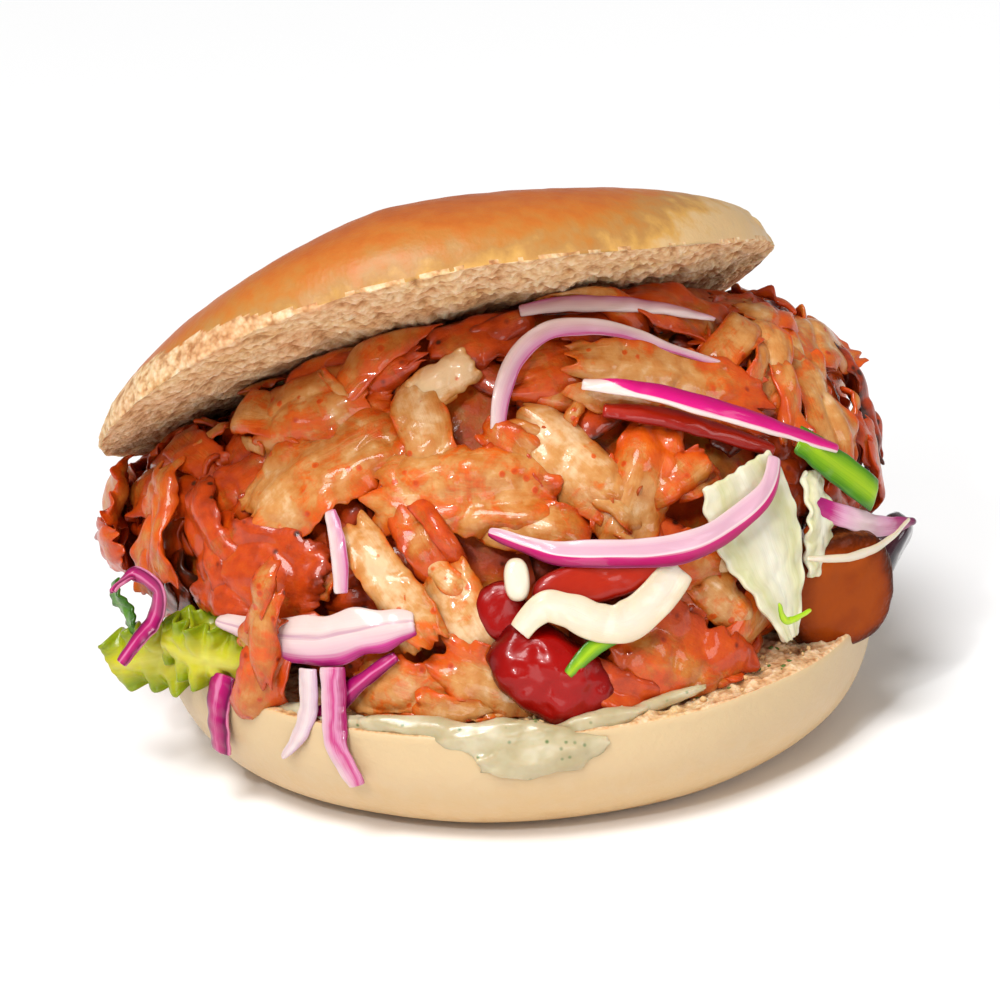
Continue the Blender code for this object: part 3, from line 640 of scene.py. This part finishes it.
def addBits(bm, draw, kind, mirrored=False):
    for i in range(kind["count"]):
        side = draw.choice((-1, 1)) if mirrored else 1
        bit = drawRow(draw, kind["ranges"])
        addSlice(bm, (side * bit[0],) + bit[1:], kind["seed"] + i, kind["cell"])


def buildFill(material):
    draw = random.Random(fill["seed"])
    bm = newSliceMesh()
    addBits(bm, draw, fill["gapShadeBits"])
    addBits(bm, draw, fill["sideBits"], mirrored=True)
    finishMeat(bm, "meat_bits", material, 2.2, 0.3)
    bm = newSliceMesh()
    for seed, row in enumerate(rearRows()):
        addSlice(bm, row, seed + len(slices), fill["rearCell"])
    addBits(bm, draw, fill["rearBits"])
    finishMeat(bm, "shaved_meat_back", material, 2.8, 0.3)
    bm = newSliceMesh()
    addBits(bm, draw, fill["shreds"])
    finishMeat(bm, "meat_shreds", material, 1.1)


def makeMeat():
    # shaved grilled poultry: golden tan fibres, an orange-red paprika sauce that lies on them
    # in patches, charred spots and edges, and a wet oily film over all of it
    material, tree, shader = newMaterial("shavedGrilledMeat", roughness=0.4, coat=0.5,
                                         coatRoughness=0.06, soft=0.18, softReach=2, gloss=0.2)
    where = addNode(tree, "TexCoord").outputs["Object"]
    uv = addNode(tree, "TexCoord").outputs["UV"]
    tone = addNode(tree, "Attribute", attribute_name="tone").outputs["Fac"]
    edge = addNode(tree, "Attribute", attribute_name="edge").outputs["Fac"]
    broad = addNode(tree, "TexNoise", {"Vector": where, "Scale": 70.0, "Detail": 5.0,
                                       "Roughness": 0.62, "Distortion": 0.8})
    mottle = addNode(tree, "TexNoise", {"Vector": where, "Scale": 330.0, "Detail": 4.0})
    smear = addNode(tree, "TexNoise", {"Vector": where, "Scale": 150.0, "Detail": 6.0,
                                       "Roughness": 0.65, "Distortion": 1.4})
    stretch = addNode(tree, "Mapping", {"Vector": uv, "Scale": (2.0, 20.0, 1.0)})
    fibre = addNode(tree, "TexNoise", {"Vector": stretch, "Scale": 1.0, "Detail": 4.0,
                                       "Roughness": 0.6})
    spice = addNode(tree, "TexVoronoi", {"Vector": where, "Scale": 230.0})
    spot = addNode(tree, "MapRange", {"Value": spice, "From Min": 0.08, "From Max": 0.2,
                                      "To Min": 0.3, "To Max": 0.0})
    grilled = blend(tree, tone, ((broad, 0.5, 0.5), (fibre, 0.5, 0.16), (mottle, 0.5, 0.6),
                                 (edge, 0.25, 0.3)))
    flesh = addNode(tree, "ValToRGB", {"Fac": grilled},
                    [(0.0, "DCB88C"), (0.16, "C88E50"), (0.36, "B86A24"), (0.54, "A64A10"),
                     (0.75, "80300A"), (1.0, "381206")])
    depth = blend(tree, tone, ((mottle, 0.5, 0.6), (broad, 0.5, 0.5), (edge, 0.25, 0.2),
                               (spot, 0.0, 1.0)))
    sauce = addNode(tree, "ValToRGB", {"Fac": depth},
                    [(0.2, "D2620C"), (0.4, "CC5008"), (0.6, "BC3E06"), (0.78, "962C04"),
                     (0.95, "3C1404")])
    reach = blend(tree, tone, ((broad, 0.5, 1.6), (smear, 0.5, 1.1), (fibre, 0.5, 0.25),
                               (edge, 0.25, 0.3), (spot, 0.0, 1.4)))
    cover = addNode(tree, "MapRange", {"Value": reach, "From Min": 0.26, "From Max": 0.5,
                                       "To Min": 0.0, "To Max": 0.94})
    mixed = addNode(tree, "Mix", {0: cover, 6: flesh, 7: sauce}, data_type="RGBA")
    dress(tree, shader, mixed.outputs[2], ((fibre, 0.25, 0.5), (mottle, 0.6, 0.7),
                                           (cover, 0.4, 0.25)))
    film = addNode(tree, "Bump", {"Height": mottle, "Strength": 0.2, "Distance": 0.5 * mm})
    tree.links.new(film.outputs["Normal"], shader.inputs["Coat Normal"])
    return material


grilledMeat = makeMeat()
buildCore(grilledMeat)
buildSlices(grilledMeat)
buildFill(grilledMeat)
print("meat done")


saladCell = 0.8  # mm, how fine the strips' and leaves' meshes are

# Strips of salad. name: (width mm, thickness mm, roll, points, kind, skin side, arch mm,
# how far the first and the last end taper)
strips = {
    "onion_top": (4.6, 1.5, 0, ((14, 0.965, 4), (22, 0.96, 5), (30, 0.94, 6), (38, 0.92, 6),
        (46, 0.89, 6), (52, 0.86, 6)), "onionPale", 1, 0.5, 0.5, 0.95),
    "onion_arch": (4.8, 1.6, 10, ((5, 0.68, 4), (7, 0.77, 6), (11, 0.85, 7), (17, 0.89, 8),
        (24, 0.89, 8), (32, 0.865, 7), (40, 0.815, 6), (50, 0.75, 6)),
        "onionPale", -1, 0.5, 0.4, 0.95),
    "onion_magenta": (5.4, 1.6, 0, ((21, 0.765, 8), (29, 0.725, 11), (36, 0.68, 12),
        (44, 0.625, 12), (52, 0.57, 11), (61, 0.50, 11)), "onionSkin", 1, 0.6, 0.6, 0.7),
    "onion_ring": (8.0, 2.0, 0, ((1, 0.46, 8), (6, 0.42, 10), (11, 0.385, 12), (18, 0.37, 13),
        (25, 0.36, 13), (32, 0.365, 13), (39, 0.40, 12), (45, 0.45, 12), (49, 0.52, 10)),
        "onionRing", -1, 0.7, 0.9, 0.7),
    "onion_wedge": (14, 2.4, 0, ((-48, 0.27, 8), (-38, 0.235, 10), (-29, 0.22, 11),
        (-20, 0.24, 11), (-13, 0.25, 10)), "onionWedge", -1, 1.6, 0.95, 0.75),
    "onion_small": (4, 1.5, 0, ((-24, 0.55, 10), (-23, 0.46, 11), (-23.5, 0.34, 11)),
        "onionPale", 1, 0.3, 0.5, 0.3),
    "onion_hanging_pale": (4.8, 1.3, 0, ((-31, 0.155, 12), (-32, 0.06, 13), (-33.5, 0.0, 15.5),
        (-37, -0.05, 18)), "onionVeil", 1, 0.5, 0.2, 0.9),
    "onion_hanging_pink": (6, 1.5, 0, ((-27, 0.155, 11.5), (-27.5, 0.05, 13.5), (-27, -0.03, 17),
        (-24.5, -0.13, 18)), "onionBlush", 1, 0.6, 0.1, 0.3),
    "red_cabbage_loop": (5.2, 1.4, 0, ((-58, 0.38, 21), (-58, 0.41, 15), (-56, 0.36, 12),
        (-58, 0.29, 13), (-59, 0.26, 17), (-60, 0.23, 22)), "redCabbage", 0, 0.5, 0.6, 0.5),
    "red_cabbage_hanging": (7.4, 1.6, 0, ((-50, 0.12, 10), (-51, 0.05, 15), (-51, -0.03, 20)),
        "redCabbage", 0, 0.6, 0.2, 0.1),
    "red_cabbage_front": (4.8, 1.6, 0, ((-17, 0.17, 9), (-24, 0.10, 10), (-30, 0.03, 11),
        (-40, -0.01, 11), (-47, 0.0, 11)), "redCabbage", 0, 0.5, 0.6, 0.8),
    "red_cabbage_right": (6.4, 1.6, 0, ((56, 0.39, 8), (63, 0.33, 10), (70, 0.29, 12.5),
        (78, 0.28, 16)), "cabbageTip", 0, 0.5, 0.5, 0.9),
    "cabbage_wave": (8.6, 1.8, 0, ((3, 0.21, 12), (7, 0.262, 13), (11, 0.25, 13.5),
        (15, 0.215, 13.5), (19, 0.21, 13.5), (24, 0.25, 13), (29, 0.32, 11)),
        "whiteCabbage", 0, 0.4, 0.5, 0.1),
    "cabbage_thread": (2.6, 1.0, 0, ((50, 0.285, 13), (58, 0.265, 14), (66, 0.27, 15),
        (74, 0.30, 16)), "whiteCabbage", 0, 0.2, 0.7, 0.8),
    "leek": (8.5, 1.0, 0, ((54, 0.55, 10.5), (60.5, 0.46, 10.5), (67, 0.37, 12.5)),
        "leek", 0, 0.4, 0.25, 0.1),
    "green_strip": (4.4, 1.1, 0, ((9, 0.10, 14), (14, 0.16, 13), (20, 0.19, 12)),
        "leek", 0, 0.5, 0.6, 0.5),
    "green_sprig": (2, 1.0, 0, ((44, 0.20, 13.5), (45.5, 0.155, 13.5), (50, 0.17, 14)),
        "sprig", 0, 0.2, 0.7, 0.8),
    "tomato_strip": (4.8, 2.6, 0, ((24, 0.71, 5), (33, 0.67, 7), (42, 0.61, 7), (51, 0.54, 7)),
        "tomatoFlesh", 0, 0.8, 0.5, 0.6),
    "onion_back_left": (5, 1.7, 0, ((-150, 0.35, 7), (-140, 0.55, 9), (-128, 0.62, 9),
        (-116, 0.50, 8)), "onionRing", -1, 0.5, 0.7, 0.7),
    "onion_back_right": (5, 1.7, 0, ((128, 0.60, 7), (140, 0.38, 9), (154, 0.34, 9),
        (164, 0.55, 8)), "onionRing", -1, 0.5, 0.7, 0.7),
    "onion_right_side": (5, 1.7, 0, ((92, 0.14, 9), (101, 0.22, 10), (112, 0.18, 9),
        (120, 0.06, 9)), "onionPale", 1, 0.5, 0.7, 0.7),
    "red_cabbage_back": (5, 1.6, 0, ((170, 0.40, 7), (180, 0.28, 9), (190, 0.36, 9),
        (200, 0.20, 10)), "redCabbage", 0, 0.5, 0.6, 0.6),
    "red_cabbage_back_left": (5, 1.6, 0, ((-122, 0.20, 9), (-112, 0.28, 10), (-103, 0.16, 11),
        (-99, -0.02, 13)), "redCabbage", 0, 0.5, 0.6, 0.6),
}


def stripPlace(points, width, rollAngle, arch, tapers, seed):
    def spot(share):
        around, up, out = smoothAlong(points, min(1, max(0, share)))
        return heapFrame(around, up, out * mm)

    def place(along, across):
        share = (along + 1) / 2
        placed = spot(share)
        heading = (spot(share + 0.02).translation - spot(share - 0.02).translation).normalized()
        outward = placed.col[2].to_3d()
        outward = (outward - heading * outward.dot(heading)).normalized()
        outward = Matrix.Rotation(math.radians(rollAngle), 3, heading) @ outward
        sideways = outward.cross(heading)
        slim = 1 - tapers[0] * (1 - share) ** 2.6 - tapers[1] * share ** 2.6
        slim += 0.14 * ripple(along * 4, seed, across)
        wave = 0.5 * mm * ripple(along * 6, across * 1.5, seed)
        return (placed.translation + sideways * (across * width / 2 * slim)
                + outward * (wave - arch * across ** 2))

    return place


def buildStrip(name, seed, materials):
    (width, thickness, rollAngle, points, kind, skinSide, arch, *tapers) = strips[name]
    bm = newSliceMesh()
    skin = bm.verts.layers.float.new("skin")
    place = stripPlace(points, width * mm, rollAngle, arch * mm, tapers, seed)
    for vertex in addGrid(bm, (9 * (len(points) - 1), max(4, round(width / saladCell)))):
        along, across = vertex.co.x, vertex.co.y
        vertex[skin] = (1 + across * skinSide) / 2 if skinSide else abs(across)
        if kind == "cabbageTip":
            vertex[skin] = abs(along + 0.1) ** 1.4
        elif kind == "onionSkin":
            vertex[skin] -= 0.8 * settle(-along, 0.55, 0.95)
        elif kind == "onionRing":
            vertex[skin] += 0.14 * settle(along, -0.2, 0.9) * across
        vertex[bm.verts.layers.float["edge"]] = abs(along)
        vertex[bm.verts.layers.float["tone"]] = (along + 1) / 2
        vertex.co = place(along, across)
    finish(bm, name + "_piece", materials[kind], [name],
           thickness=thickness * 0.6 * mm)


def makeSalad(name, stops, streak=0.12, roughness=0.3, coat=0.35, soft=0.35, blotch=0.0,
              blotchScale=120.0):
    # raw vegetable: a colour that runs across the piece, faint veins along it, a wet film
    material, tree, shader = newMaterial(name, roughness=roughness, coat=coat, coatRoughness=0.06,
                                         soft=soft, softReach=2, gloss=0.2)
    uv = addNode(tree, "TexCoord").outputs["UV"]
    where = addNode(tree, "TexCoord").outputs["Object"]
    across = addNode(tree, "Attribute", attribute_name="skin").outputs["Fac"]
    stretch = addNode(tree, "Mapping", {"Vector": uv, "Scale": (2.0, 22.0, 1.0)})
    veins = addNode(tree, "TexNoise", {"Vector": stretch, "Scale": 1.0, "Detail": 3.0})
    cloud = addNode(tree, "TexNoise", {"Vector": where, "Scale": blotchScale, "Detail": 3.0})
    total = blend(tree, across, ((veins, 0.5, streak), (cloud, 0.5, blotch)))
    colour = addNode(tree, "ValToRGB", {"Fac": total}, stops)
    dress(tree, shader, colour.outputs["Color"], ((veins, 0.25, 0.3), (cloud, 0.2, 0.4)))
    return material


def makeRoast():
    # roasted potato: a smooth orange-brown face inside a dark, grainy, salted rim
    material, tree, shader = newMaterial("roastPotato", roughness=0.4, coat=0.08, gloss=0.06)
    where = addNode(tree, "TexCoord").outputs["Object"]
    rim = addNode(tree, "Attribute", attribute_name="skin").outputs["Fac"]
    cloud = addNode(tree, "TexNoise", {"Vector": where, "Scale": 130.0, "Detail": 5.0})
    grain = addNode(tree, "TexVoronoi", {"Vector": where, "Scale": 900.0})
    browned = blend(tree, rim, ((cloud, 0.5, 1.1),))
    colour = addNode(tree, "ValToRGB", {"Fac": browned},
                     [(0.0, "96400A"), (0.35, "843206"), (0.6, "602204"), (0.85, "421806"),
                      (1.0, "683210")])
    salted = addNode(tree, "Math", {0: grain, 1: rim}, operation="MULTIPLY")
    dress(tree, shader, colour.outputs["Color"], ((salted, 0.9, 0.6), (cloud, 0.4, 1.0)))
    return material


salad = {
    "onionPale": makeSalad(
        "paleRedOnion",
        [(0.0, "CCB0AC"), (0.2, "DAC2BE"), (0.5, "CCA4AA"), (0.8, "C0809E"), (0.9, "B03874"),
         (1.0, "C894AA")], 0.4, soft=0.15),
    "onionVeil": makeSalad(
        "onionInnerSkin",
        [(0.0, "D6C4BC"), (0.3, "C8AEB0"), (0.6, "D8C6C4"), (1.0, "B890A8")], 0.5, soft=0.15),
    "onionWedge": makeSalad(
        "redOnionWedge",
        [(0.0, "D6BCB4"), (0.3, "DAC4BE"), (0.4, "BC94A0"), (0.44, "DCC2BE"), (0.7, "D0A8B2"),
         (0.84, "BC3080"), (0.94, "960E5C"), (1.0, "C86894")], 0.2, soft=0.15),
    "onionBlush": makeSalad(
        "blushRedOnion",
        [(0.0, "D8BEBC"), (0.4, "CC8EA8"), (0.6, "B83474"), (0.75, "C884A4"), (1.0, "941454")],
        0.4, soft=0.15, blotch=0.9, blotchScale=90.0),
    "onionRing": makeSalad(
        "redOnionRing",
        [(0.0, "B06A94"), (0.06, "DCC2C2"), (0.3, "CEA0B0"), (0.52, "D2A4B4"), (0.58, "E6D2D0"),
         (0.64, "BC1468"), (0.84, "9A064E"), (0.93, "6C063A"), (1.0, "C45088")], 0.14, soft=0.1),
    "onionSkin": makeSalad(
        "redOnionSkin",
        [(0.0, "E4D0C8"), (0.18, "E2C6C4"), (0.25, "D01478"), (0.6, "BC0468"), (1.0, "8C0450")],
        0.12, soft=0.1),
    "cabbageTip": makeSalad(
        "redCabbageTip",
        [(0.0, "E0C4C6"), (0.3, "D89CB8"), (0.5, "B02070"), (1.0, "620640")], 0.3, soft=0.1,
        blotch=0.3, blotchScale=90.0),
    "redCabbage": makeSalad(
        "redCabbage",
        [(0.0, "CC6C98"), (0.16, "AE1464"), (0.6, "8C0450"), (0.85, "5C0338"), (0.95, "A03068"),
         (1.0, "C87898")], 0.3, soft=0.1, blotch=0.5),
    "whiteCabbage": makeSalad(
        "whiteCabbage", [(0.0, "E0D4C2"), (0.5, "DCCCB4"), (1.0, "D0BEA0")], 0.3, soft=0.4),
    "cabbageLeaf": makeSalad(
        "whiteCabbageLeaf",
        [(0.0, "DED8C4"), (0.4, "D6D0B0"), (0.75, "CAC696"), (1.0, "DCD6BA")], 0.4, soft=0.3,
        blotch=0.5),
    "sprig": makeSalad("freshSprig", [(0.0, "B4D41C"), (1.0, "84B414")], 0.3),
    "leek": makeSalad(
        "leekGreen", [(0.0, "9CBC1C"), (0.4, "78A412"), (0.8, "48800C"), (1.0, "2C5C08")], 0.6,
        soft=0.15),
    "lettuce": makeSalad(
        "lettuceLeaf", [(0.0, "CEC650"), (0.35, "BAB422"), (0.7, "A0A416"), (1.0, "7C8E10")], 0.3,
        coat=0.3, soft=0.4, blotch=0.5),
    # painted shade: a darker copy of the lettuce for the leaf that lies in shade
    "shadedLettuceLeaf": makeSalad("shadedLettuceLeaf", [(0.0, "568A10"), (1.0, "2C5A08")], 0.3, blotch=0.5),
    "tomatoFlesh": makeSalad(
        "tomatoFlesh", [(0.0, "A82208"), (0.5, "9A1204"), (1.0, "7E0802")], 0.3, coat=0.4,
        soft=0.2, blotch=0.5, blotchScale=300.0),
    "tomatoSkin": makeSalad(
        "tomatoSkin", [(0.0, "960602"), (0.6, "820402"), (1.0, "560202")], 0.1, roughness=0.25,
        coat=0.16, soft=0.0, blotch=0.5),
    "aubergine": makeSalad(
        "aubergineSkin", [(0.0, "1C1018"), (0.6, "241420"), (1.0, "3A1822")], 0.2,
        roughness=0.25, coat=0.8, soft=0.0),
    "roast": makeRoast(),
}
for seed, name in enumerate(strips):
    buildStrip(name, seed, salad)
print("strips done")


# Leaves. name: (around, up, length mm, width mm, turn, bend, cup, out mm, thickness mm,
# narrowing towards the far end, frill mm, kind, swing)
leaves = {
    "cabbage_leaf": (46, 0.30, 38, 27, -78, 20, 30, 8, 1.8, 0.8, 0.35, "cabbageLeaf", 0),
    "cabbage_fold": (57, 0.34, 22, 9, 82, 30, 30, 8, 1.8, 0.2, 0.8, "cabbageLeaf", 0),
    "lettuce_left": (-61, 0.17, 34, 16, 8, 20, 40, 11, 1.8, 0.0, 2.6, "lettuce", 35),
    "lettuce_lobe": (-52, 0.16, 24, 15, -14, 30, 60, 10, 1.8, 0.0, 3.0, "lettuce", 20),
    # painted shade: this leaf takes the darker, shaded copy of the lettuce
    "lettuce_dark": (-66, 0.31, 12, 6, -60, 20, 30, 13, 1.6, 0.2, 0.8, "shadedLettuceLeaf", 0),
    "lettuce_back": (146, 0.20, 38, 15, 5, 20, 40, 8, 1.8, 0.0, 2.4, "lettuce", 0),
    "lettuce_back_left": (-158, 0.22, 34, 15, -6, 20, 40, 8, 1.8, 0.0, 2.4, "lettuce", 0),
    "lettuce_right": (110, 0.12, 28, 13, 4, 20, 40, 8, 1.8, 0.0, 2.2, "lettuce", 0),
}


def buildLeaf(name, seed):
    (around, up, length, width, turn, bend, cup, out, thickness, narrowing, frill,
     kind, swing) = leaves[name]
    placed = heapFrame(around, up, out * mm, turn, swing)
    bm = newSliceMesh()
    skin = bm.verts.layers.float.new("skin")
    for vertex in addGrid(bm, (round(length / saladCell), round(width / saladCell))):
        along, across = vertex.co.x, vertex.co.y
        x, zBend = arcOffset(along + 0.06 * ripple(across * 4, seed, 1),
                             length * mm / 2, bend)
        taper = (1 - 0.3 * along ** 2) * (1 - narrowing * ((along + 1) / 2) ** 1.4)
        taper *= 1 + 0.16 * ripple(along * 5, seed, across)
        y, zCup = arcOffset(across * taper, width * mm / 2, cup)
        ruffle = min(2.2, frill) * mm * abs(across) * math.sin(along * 5 + seed)
        ruffle += frill * mm * across ** 2 * math.sin(along * 17 + seed * 2 + across)
        ruffle += min(0.8, frill) * mm * ripple(along * 7, across * 4, seed)
        vertex[skin] = min(1, abs(across) + 0.2 * abs(along))
        vertex.co = placed @ Vector((x, y, zBend + zCup + ruffle))
    finish(bm, name + "_piece", salad[kind], [name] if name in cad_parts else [],
           thickness=min(1.0, thickness * 0.7) * mm)


for seed, name in enumerate(leaves):
    buildLeaf(name, seed)
print("leaves done")


# Thick pieces. name: (around, up, length mm, width mm, thickness mm, turn, out mm, swing,
# lumps mm, kind, slot)
slabs = {
    "roast_slice": (63, 0.155, 25, 25, 8, -80, 8.5, -36, 0.5, "roast", "roast_vegetable"),
    "aubergine": (86, 0.11, 28, 14, 8, 86, 12, -16, 0.6, "aubergine", "aubergine_skin"),
    "tomato_slice": (17, 0.315, 28, 9, 6, 6, 9, 0, 0.4, "tomatoFlesh", "tomato"),
    "tomato_wedge": (7, 0.09, 26, 17, 12, -38, 7, 0, 1.4, "tomatoSkin", "tomato"),
    "tomato_back": (1, 0.26, 12, 10, 6, -70, 5, 0, 0.4, "tomatoSkin", "tomato"),
    "cabbage_core": (4, 0.335, 8.5, 5, 5, 88, 10, 0, 0.1, "whiteCabbage", "white_cabbage"),
    "tomato_rear": (176, 0.62, 24, 12, 8, 10, 4, 0, 0.6, "tomatoFlesh", "tomato"),
}


def buildSlab(name, seed):
    (around, up, length, width, thickness, turn, out, swing, rough, kind,
     slot) = slabs[name]
    placed = heapFrame(around, up, out * mm, turn, swing)
    half = Vector((length, width, thickness)) * mm / 2
    bm = bmesh.new()
    bm.loops.layers.uv.new("UVMap")
    bmesh.ops.create_uvsphere(bm, u_segments=72, v_segments=36, radius=1, calc_uvs=True)
    skin = bm.verts.layers.float.new("skin")
    for vertex in bm.verts:
        # flat faces and round edges
        boxed = [math.copysign(abs(value) ** power, value)
                 for value, power in zip(vertex.co, (0.8, 0.8, 0.8 if rough > 1 else 0.45))]
        vertex[skin] = math.hypot(vertex.co.x, vertex.co.y) ** 4
        point = Vector([value * size for value, size in zip(boxed, half)])
        swell = rough * mm * (lumps(point, 6 * mm, seed) + 0.4 * lumps(point, 2.2 * mm, seed))
        vertex.co = placed @ (point + Vector(vertex.co).normalized() * swell)
    finish(bm, name + "_piece", salad[kind], [name], smooth=0)


for seed, name in enumerate(slabs):
    buildSlab(name, seed)
print("thick pieces done")


# Herb cream

cream = {
    "blobs": ((3, -0.09, 25, 9, 5, 4, 14.5), (-3, -0.04, 26, 7, 5, 2, 13.5),
              (-14, -0.01, 28, 4.5, 4, -3, 12.5), (-25, 0.0, 16, 4, 3.5, 0, 12),
              (12, -0.03, 20, 5, 4, 6, 12.5), (24, 0.0, 20, 3, 2.6, 6, 11),
              (8, -0.08, 12, 7, 5, 0, 14), (-37, 0.02, 11, 4, 3.4, 8, 10)),
    "voxel": 0.55 * mm, "relax": 6,
}


def makeCream():
    # thick yogurt cream with chopped herbs: off-white, faintly green, a soft shine
    material, tree, shader = newMaterial("herbCream", roughness=0.32, coat=0.45,
                                         coatRoughness=0.15, soft=0.5, softReach=2.5)
    where = addNode(tree, "TexCoord").outputs["Object"]
    cloud = addNode(tree, "TexNoise", {"Vector": where, "Scale": 140.0, "Detail": 3.0})
    base = addNode(tree, "ValToRGB", {"Fac": cloud},
                   [(0.3, "AA9A72"), (0.55, "BCAE8A"), (0.75, "CCC2A6")])
    herb = addNode(tree, "TexVoronoi", {"Vector": where, "Scale": 560.0})
    speck = addNode(tree, "MapRange", {"Value": herb, "From Min": 0.1, "From Max": 0.3,
                                       "To Min": 0.85, "To Max": 0.0})
    chosen = addNode(tree, "Math", {0: herb.outputs["Color"], 1: 0.62},
                     operation="GREATER_THAN")
    few = addNode(tree, "Math", {0: speck, 1: chosen}, operation="MULTIPLY")
    mixed = addNode(tree, "Mix", {0: few, 6: base, 7: linear("4A6A2C")}, data_type="RGBA")
    dress(tree, shader, mixed.outputs[2], ((cloud, 0.5, 1.0),))
    return material


def buildCream(material):
    bm = bmesh.new()
    for seed, (around, up, length, width, thickness, turn, out) in enumerate(cream["blobs"]):
        placed = heapFrame(around, up, out * mm, turn)
        half = Vector((length, width, thickness)) * mm / 2
        made = bmesh.ops.create_uvsphere(bm, u_segments=64, v_segments=32, radius=1)
        for vertex in made["verts"]:
            wobble = 1 + 0.25 * noise.noise(vertex.co * 2.2 + Vector((seed * 3, 0, 0)))
            wobble += 0.10 * noise.noise(vertex.co * 6 + Vector((seed * 3, 5, 0)))
            vertex.co = placed @ Vector([value * size * wobble
                                         for value, size in zip(vertex.co, half)])
    piece = finish(bm, "herb_cream_piece", material, ["cream"], smooth=0)
    melt = piece.modifiers.new("Melt", "REMESH")
    melt.mode = "VOXEL"
    melt.voxel_size = cream["voxel"]
    melt.use_smooth_shade = True
    relax = piece.modifiers.new("Relax", "SMOOTH")
    relax.factor = 0.5
    relax.iterations = cream["relax"]


herbCream = makeCream()
buildCream(herbCream)
print("cream done")


# Chopped herbs and small crumbs scattered on the lower half's rim

specks = {"seed": 8, "around": (-30, 78), "reach": (62 * mm, 71 * mm)}


def buildSpecks(name, count, sizes, flat, colour, roughness):
    material, _, shader = newMaterial(name, roughness=roughness)
    shader.inputs["Base Color"].default_value = linear(colour)
    draw = random.Random(specks["seed"] + count)
    bm = bmesh.new()
    for i in range(count):
        around = math.radians(draw.uniform(*specks["around"]))
        reach = draw.uniform(*specks["reach"])
        size = draw.uniform(*sizes) * mm
        turned = Euler([draw.uniform(-0.4, 0.4), draw.uniform(-0.4, 0.4), draw.uniform(0, 6)])
        spot = Vector((reach * math.sin(around), -reach * math.cos(around),
                       roll["lowerHeight"]))
        spot.z += lowerRelief(spot)[0] + size * flat * 0.6
        placed = Matrix.LocRotScale(spot, turned,
                                    Vector((size, size * draw.uniform(0.4, 0.9), size * flat)))
        bmesh.ops.create_icosphere(bm, subdivisions=1, radius=1, matrix=placed)
    return finish(bm, name + "_bits", material, smooth=0)


# dull green flecks, as chopped parsley leaves on the bread
buildSpecks("choppedHerb", 60, (0.3, 0.85), 0.35, "4E6A22", 0.6)
# small golden crumbs that fell from the torn edge
buildSpecks("breadCrumbs", 80, (0.3, 0.9), 0.8, "D6AE78", 0.9)
print("specks done")


# Floor, light and camera

studio = {
    "elevation": 20.4, "roll": 3.2, "distance": 850 * mm,
    "target": Vector((-2.4, 8.4, 43.5)) * mm, "lens": 143.8,
    "floorSize": 4, "floorDrop": 0.2 * mm, "floorTone": 0.98,
    "sky": 0.28, "sun": 2.4, "sunWidth": 25, "sunTowards": Vector((0.25, 0.45, -1)),
    # soft boxes: (place, size, watts)
    "key": ((-0.4, -0.8, 0.75), 0.3, 1.3), "sparkle": ((-0.3, -0.75, 0.65), 0.06, 2.2),
    "side": ((0.75, -0.55, 0.4), 0.3, 1.3), "fill": ((0.1, -1.1, 0.12), 0.4, 1.8),
}


def buildFloor():
    bm = bmesh.new()
    bmesh.ops.create_grid(bm, x_segments=1, y_segments=1, size=studio["floorSize"])
    mesh = bpy.data.meshes.new("studio_floor")
    bm.to_mesh(mesh)
    bm.free()
    floor = bpy.data.objects.new("studio_floor", mesh)
    floor.location.z = -studio["floorDrop"]
    bpy.context.scene.collection.objects.link(floor)
    material, _, shader = newMaterial("paleStudioFloor", roughness=0.9)
    shader.inputs["Base Color"].default_value = [studio["floorTone"]] * 3 + [1]
    mesh.materials.append(material)


def addLight(name, kind, energy, towards, place=(0, 0, 0)):
    light = bpy.data.lights.new(name, kind)
    light.energy = energy
    lamp = bpy.data.objects.new(name, light)
    lamp.location = place
    lamp.rotation_euler = towards.to_track_quat("-Z", "Y").to_euler()
    bpy.context.scene.collection.objects.link(lamp)
    return light


def placeCamera():
    lift, lean = math.radians(studio["elevation"]), math.radians(studio["roll"])
    right, top = Vector((1, 0, 0)), Vector((0, math.sin(lift), math.cos(lift)))
    back = Vector((0, -math.cos(lift), math.sin(lift)))
    across = right * math.cos(lean) - top * math.sin(lean)
    upward = right * math.sin(lean) + top * math.cos(lean)
    camera = bpy.data.cameras.new("camera")
    camera.sensor_width = 36
    camera.lens = studio["lens"]
    camera.clip_start = 0.05
    eye = bpy.data.objects.new("camera", camera)
    placed = Matrix((across, upward, back)).transposed().to_4x4()
    placed.translation = studio["target"] + back * studio["distance"]
    eye.matrix_world = placed
    bpy.context.scene.collection.objects.link(eye)
    bpy.context.scene.camera = eye


def lightStudio():
    world = bpy.data.worlds.new("studio")
    bpy.context.scene.world = world
    world.use_nodes = True
    background = world.node_tree.nodes["Background"]
    background.inputs["Color"].default_value = (1, 1, 1, 1)
    background.inputs["Strength"].default_value = studio["sky"]
    sun = addLight("sun", "SUN", studio["sun"], studio["sunTowards"])
    sun.angle = math.radians(studio["sunWidth"])
    for name in ("key", "sparkle", "side", "fill"):
        place, size, energy = studio[name]
        light = addLight(name, "AREA", energy, studio["target"] - Vector(place), place)
        light.size = size
    bpy.context.scene.view_settings.view_transform = "Standard"


buildFloor()
lightStudio()
placeCamera()
print("studio done")
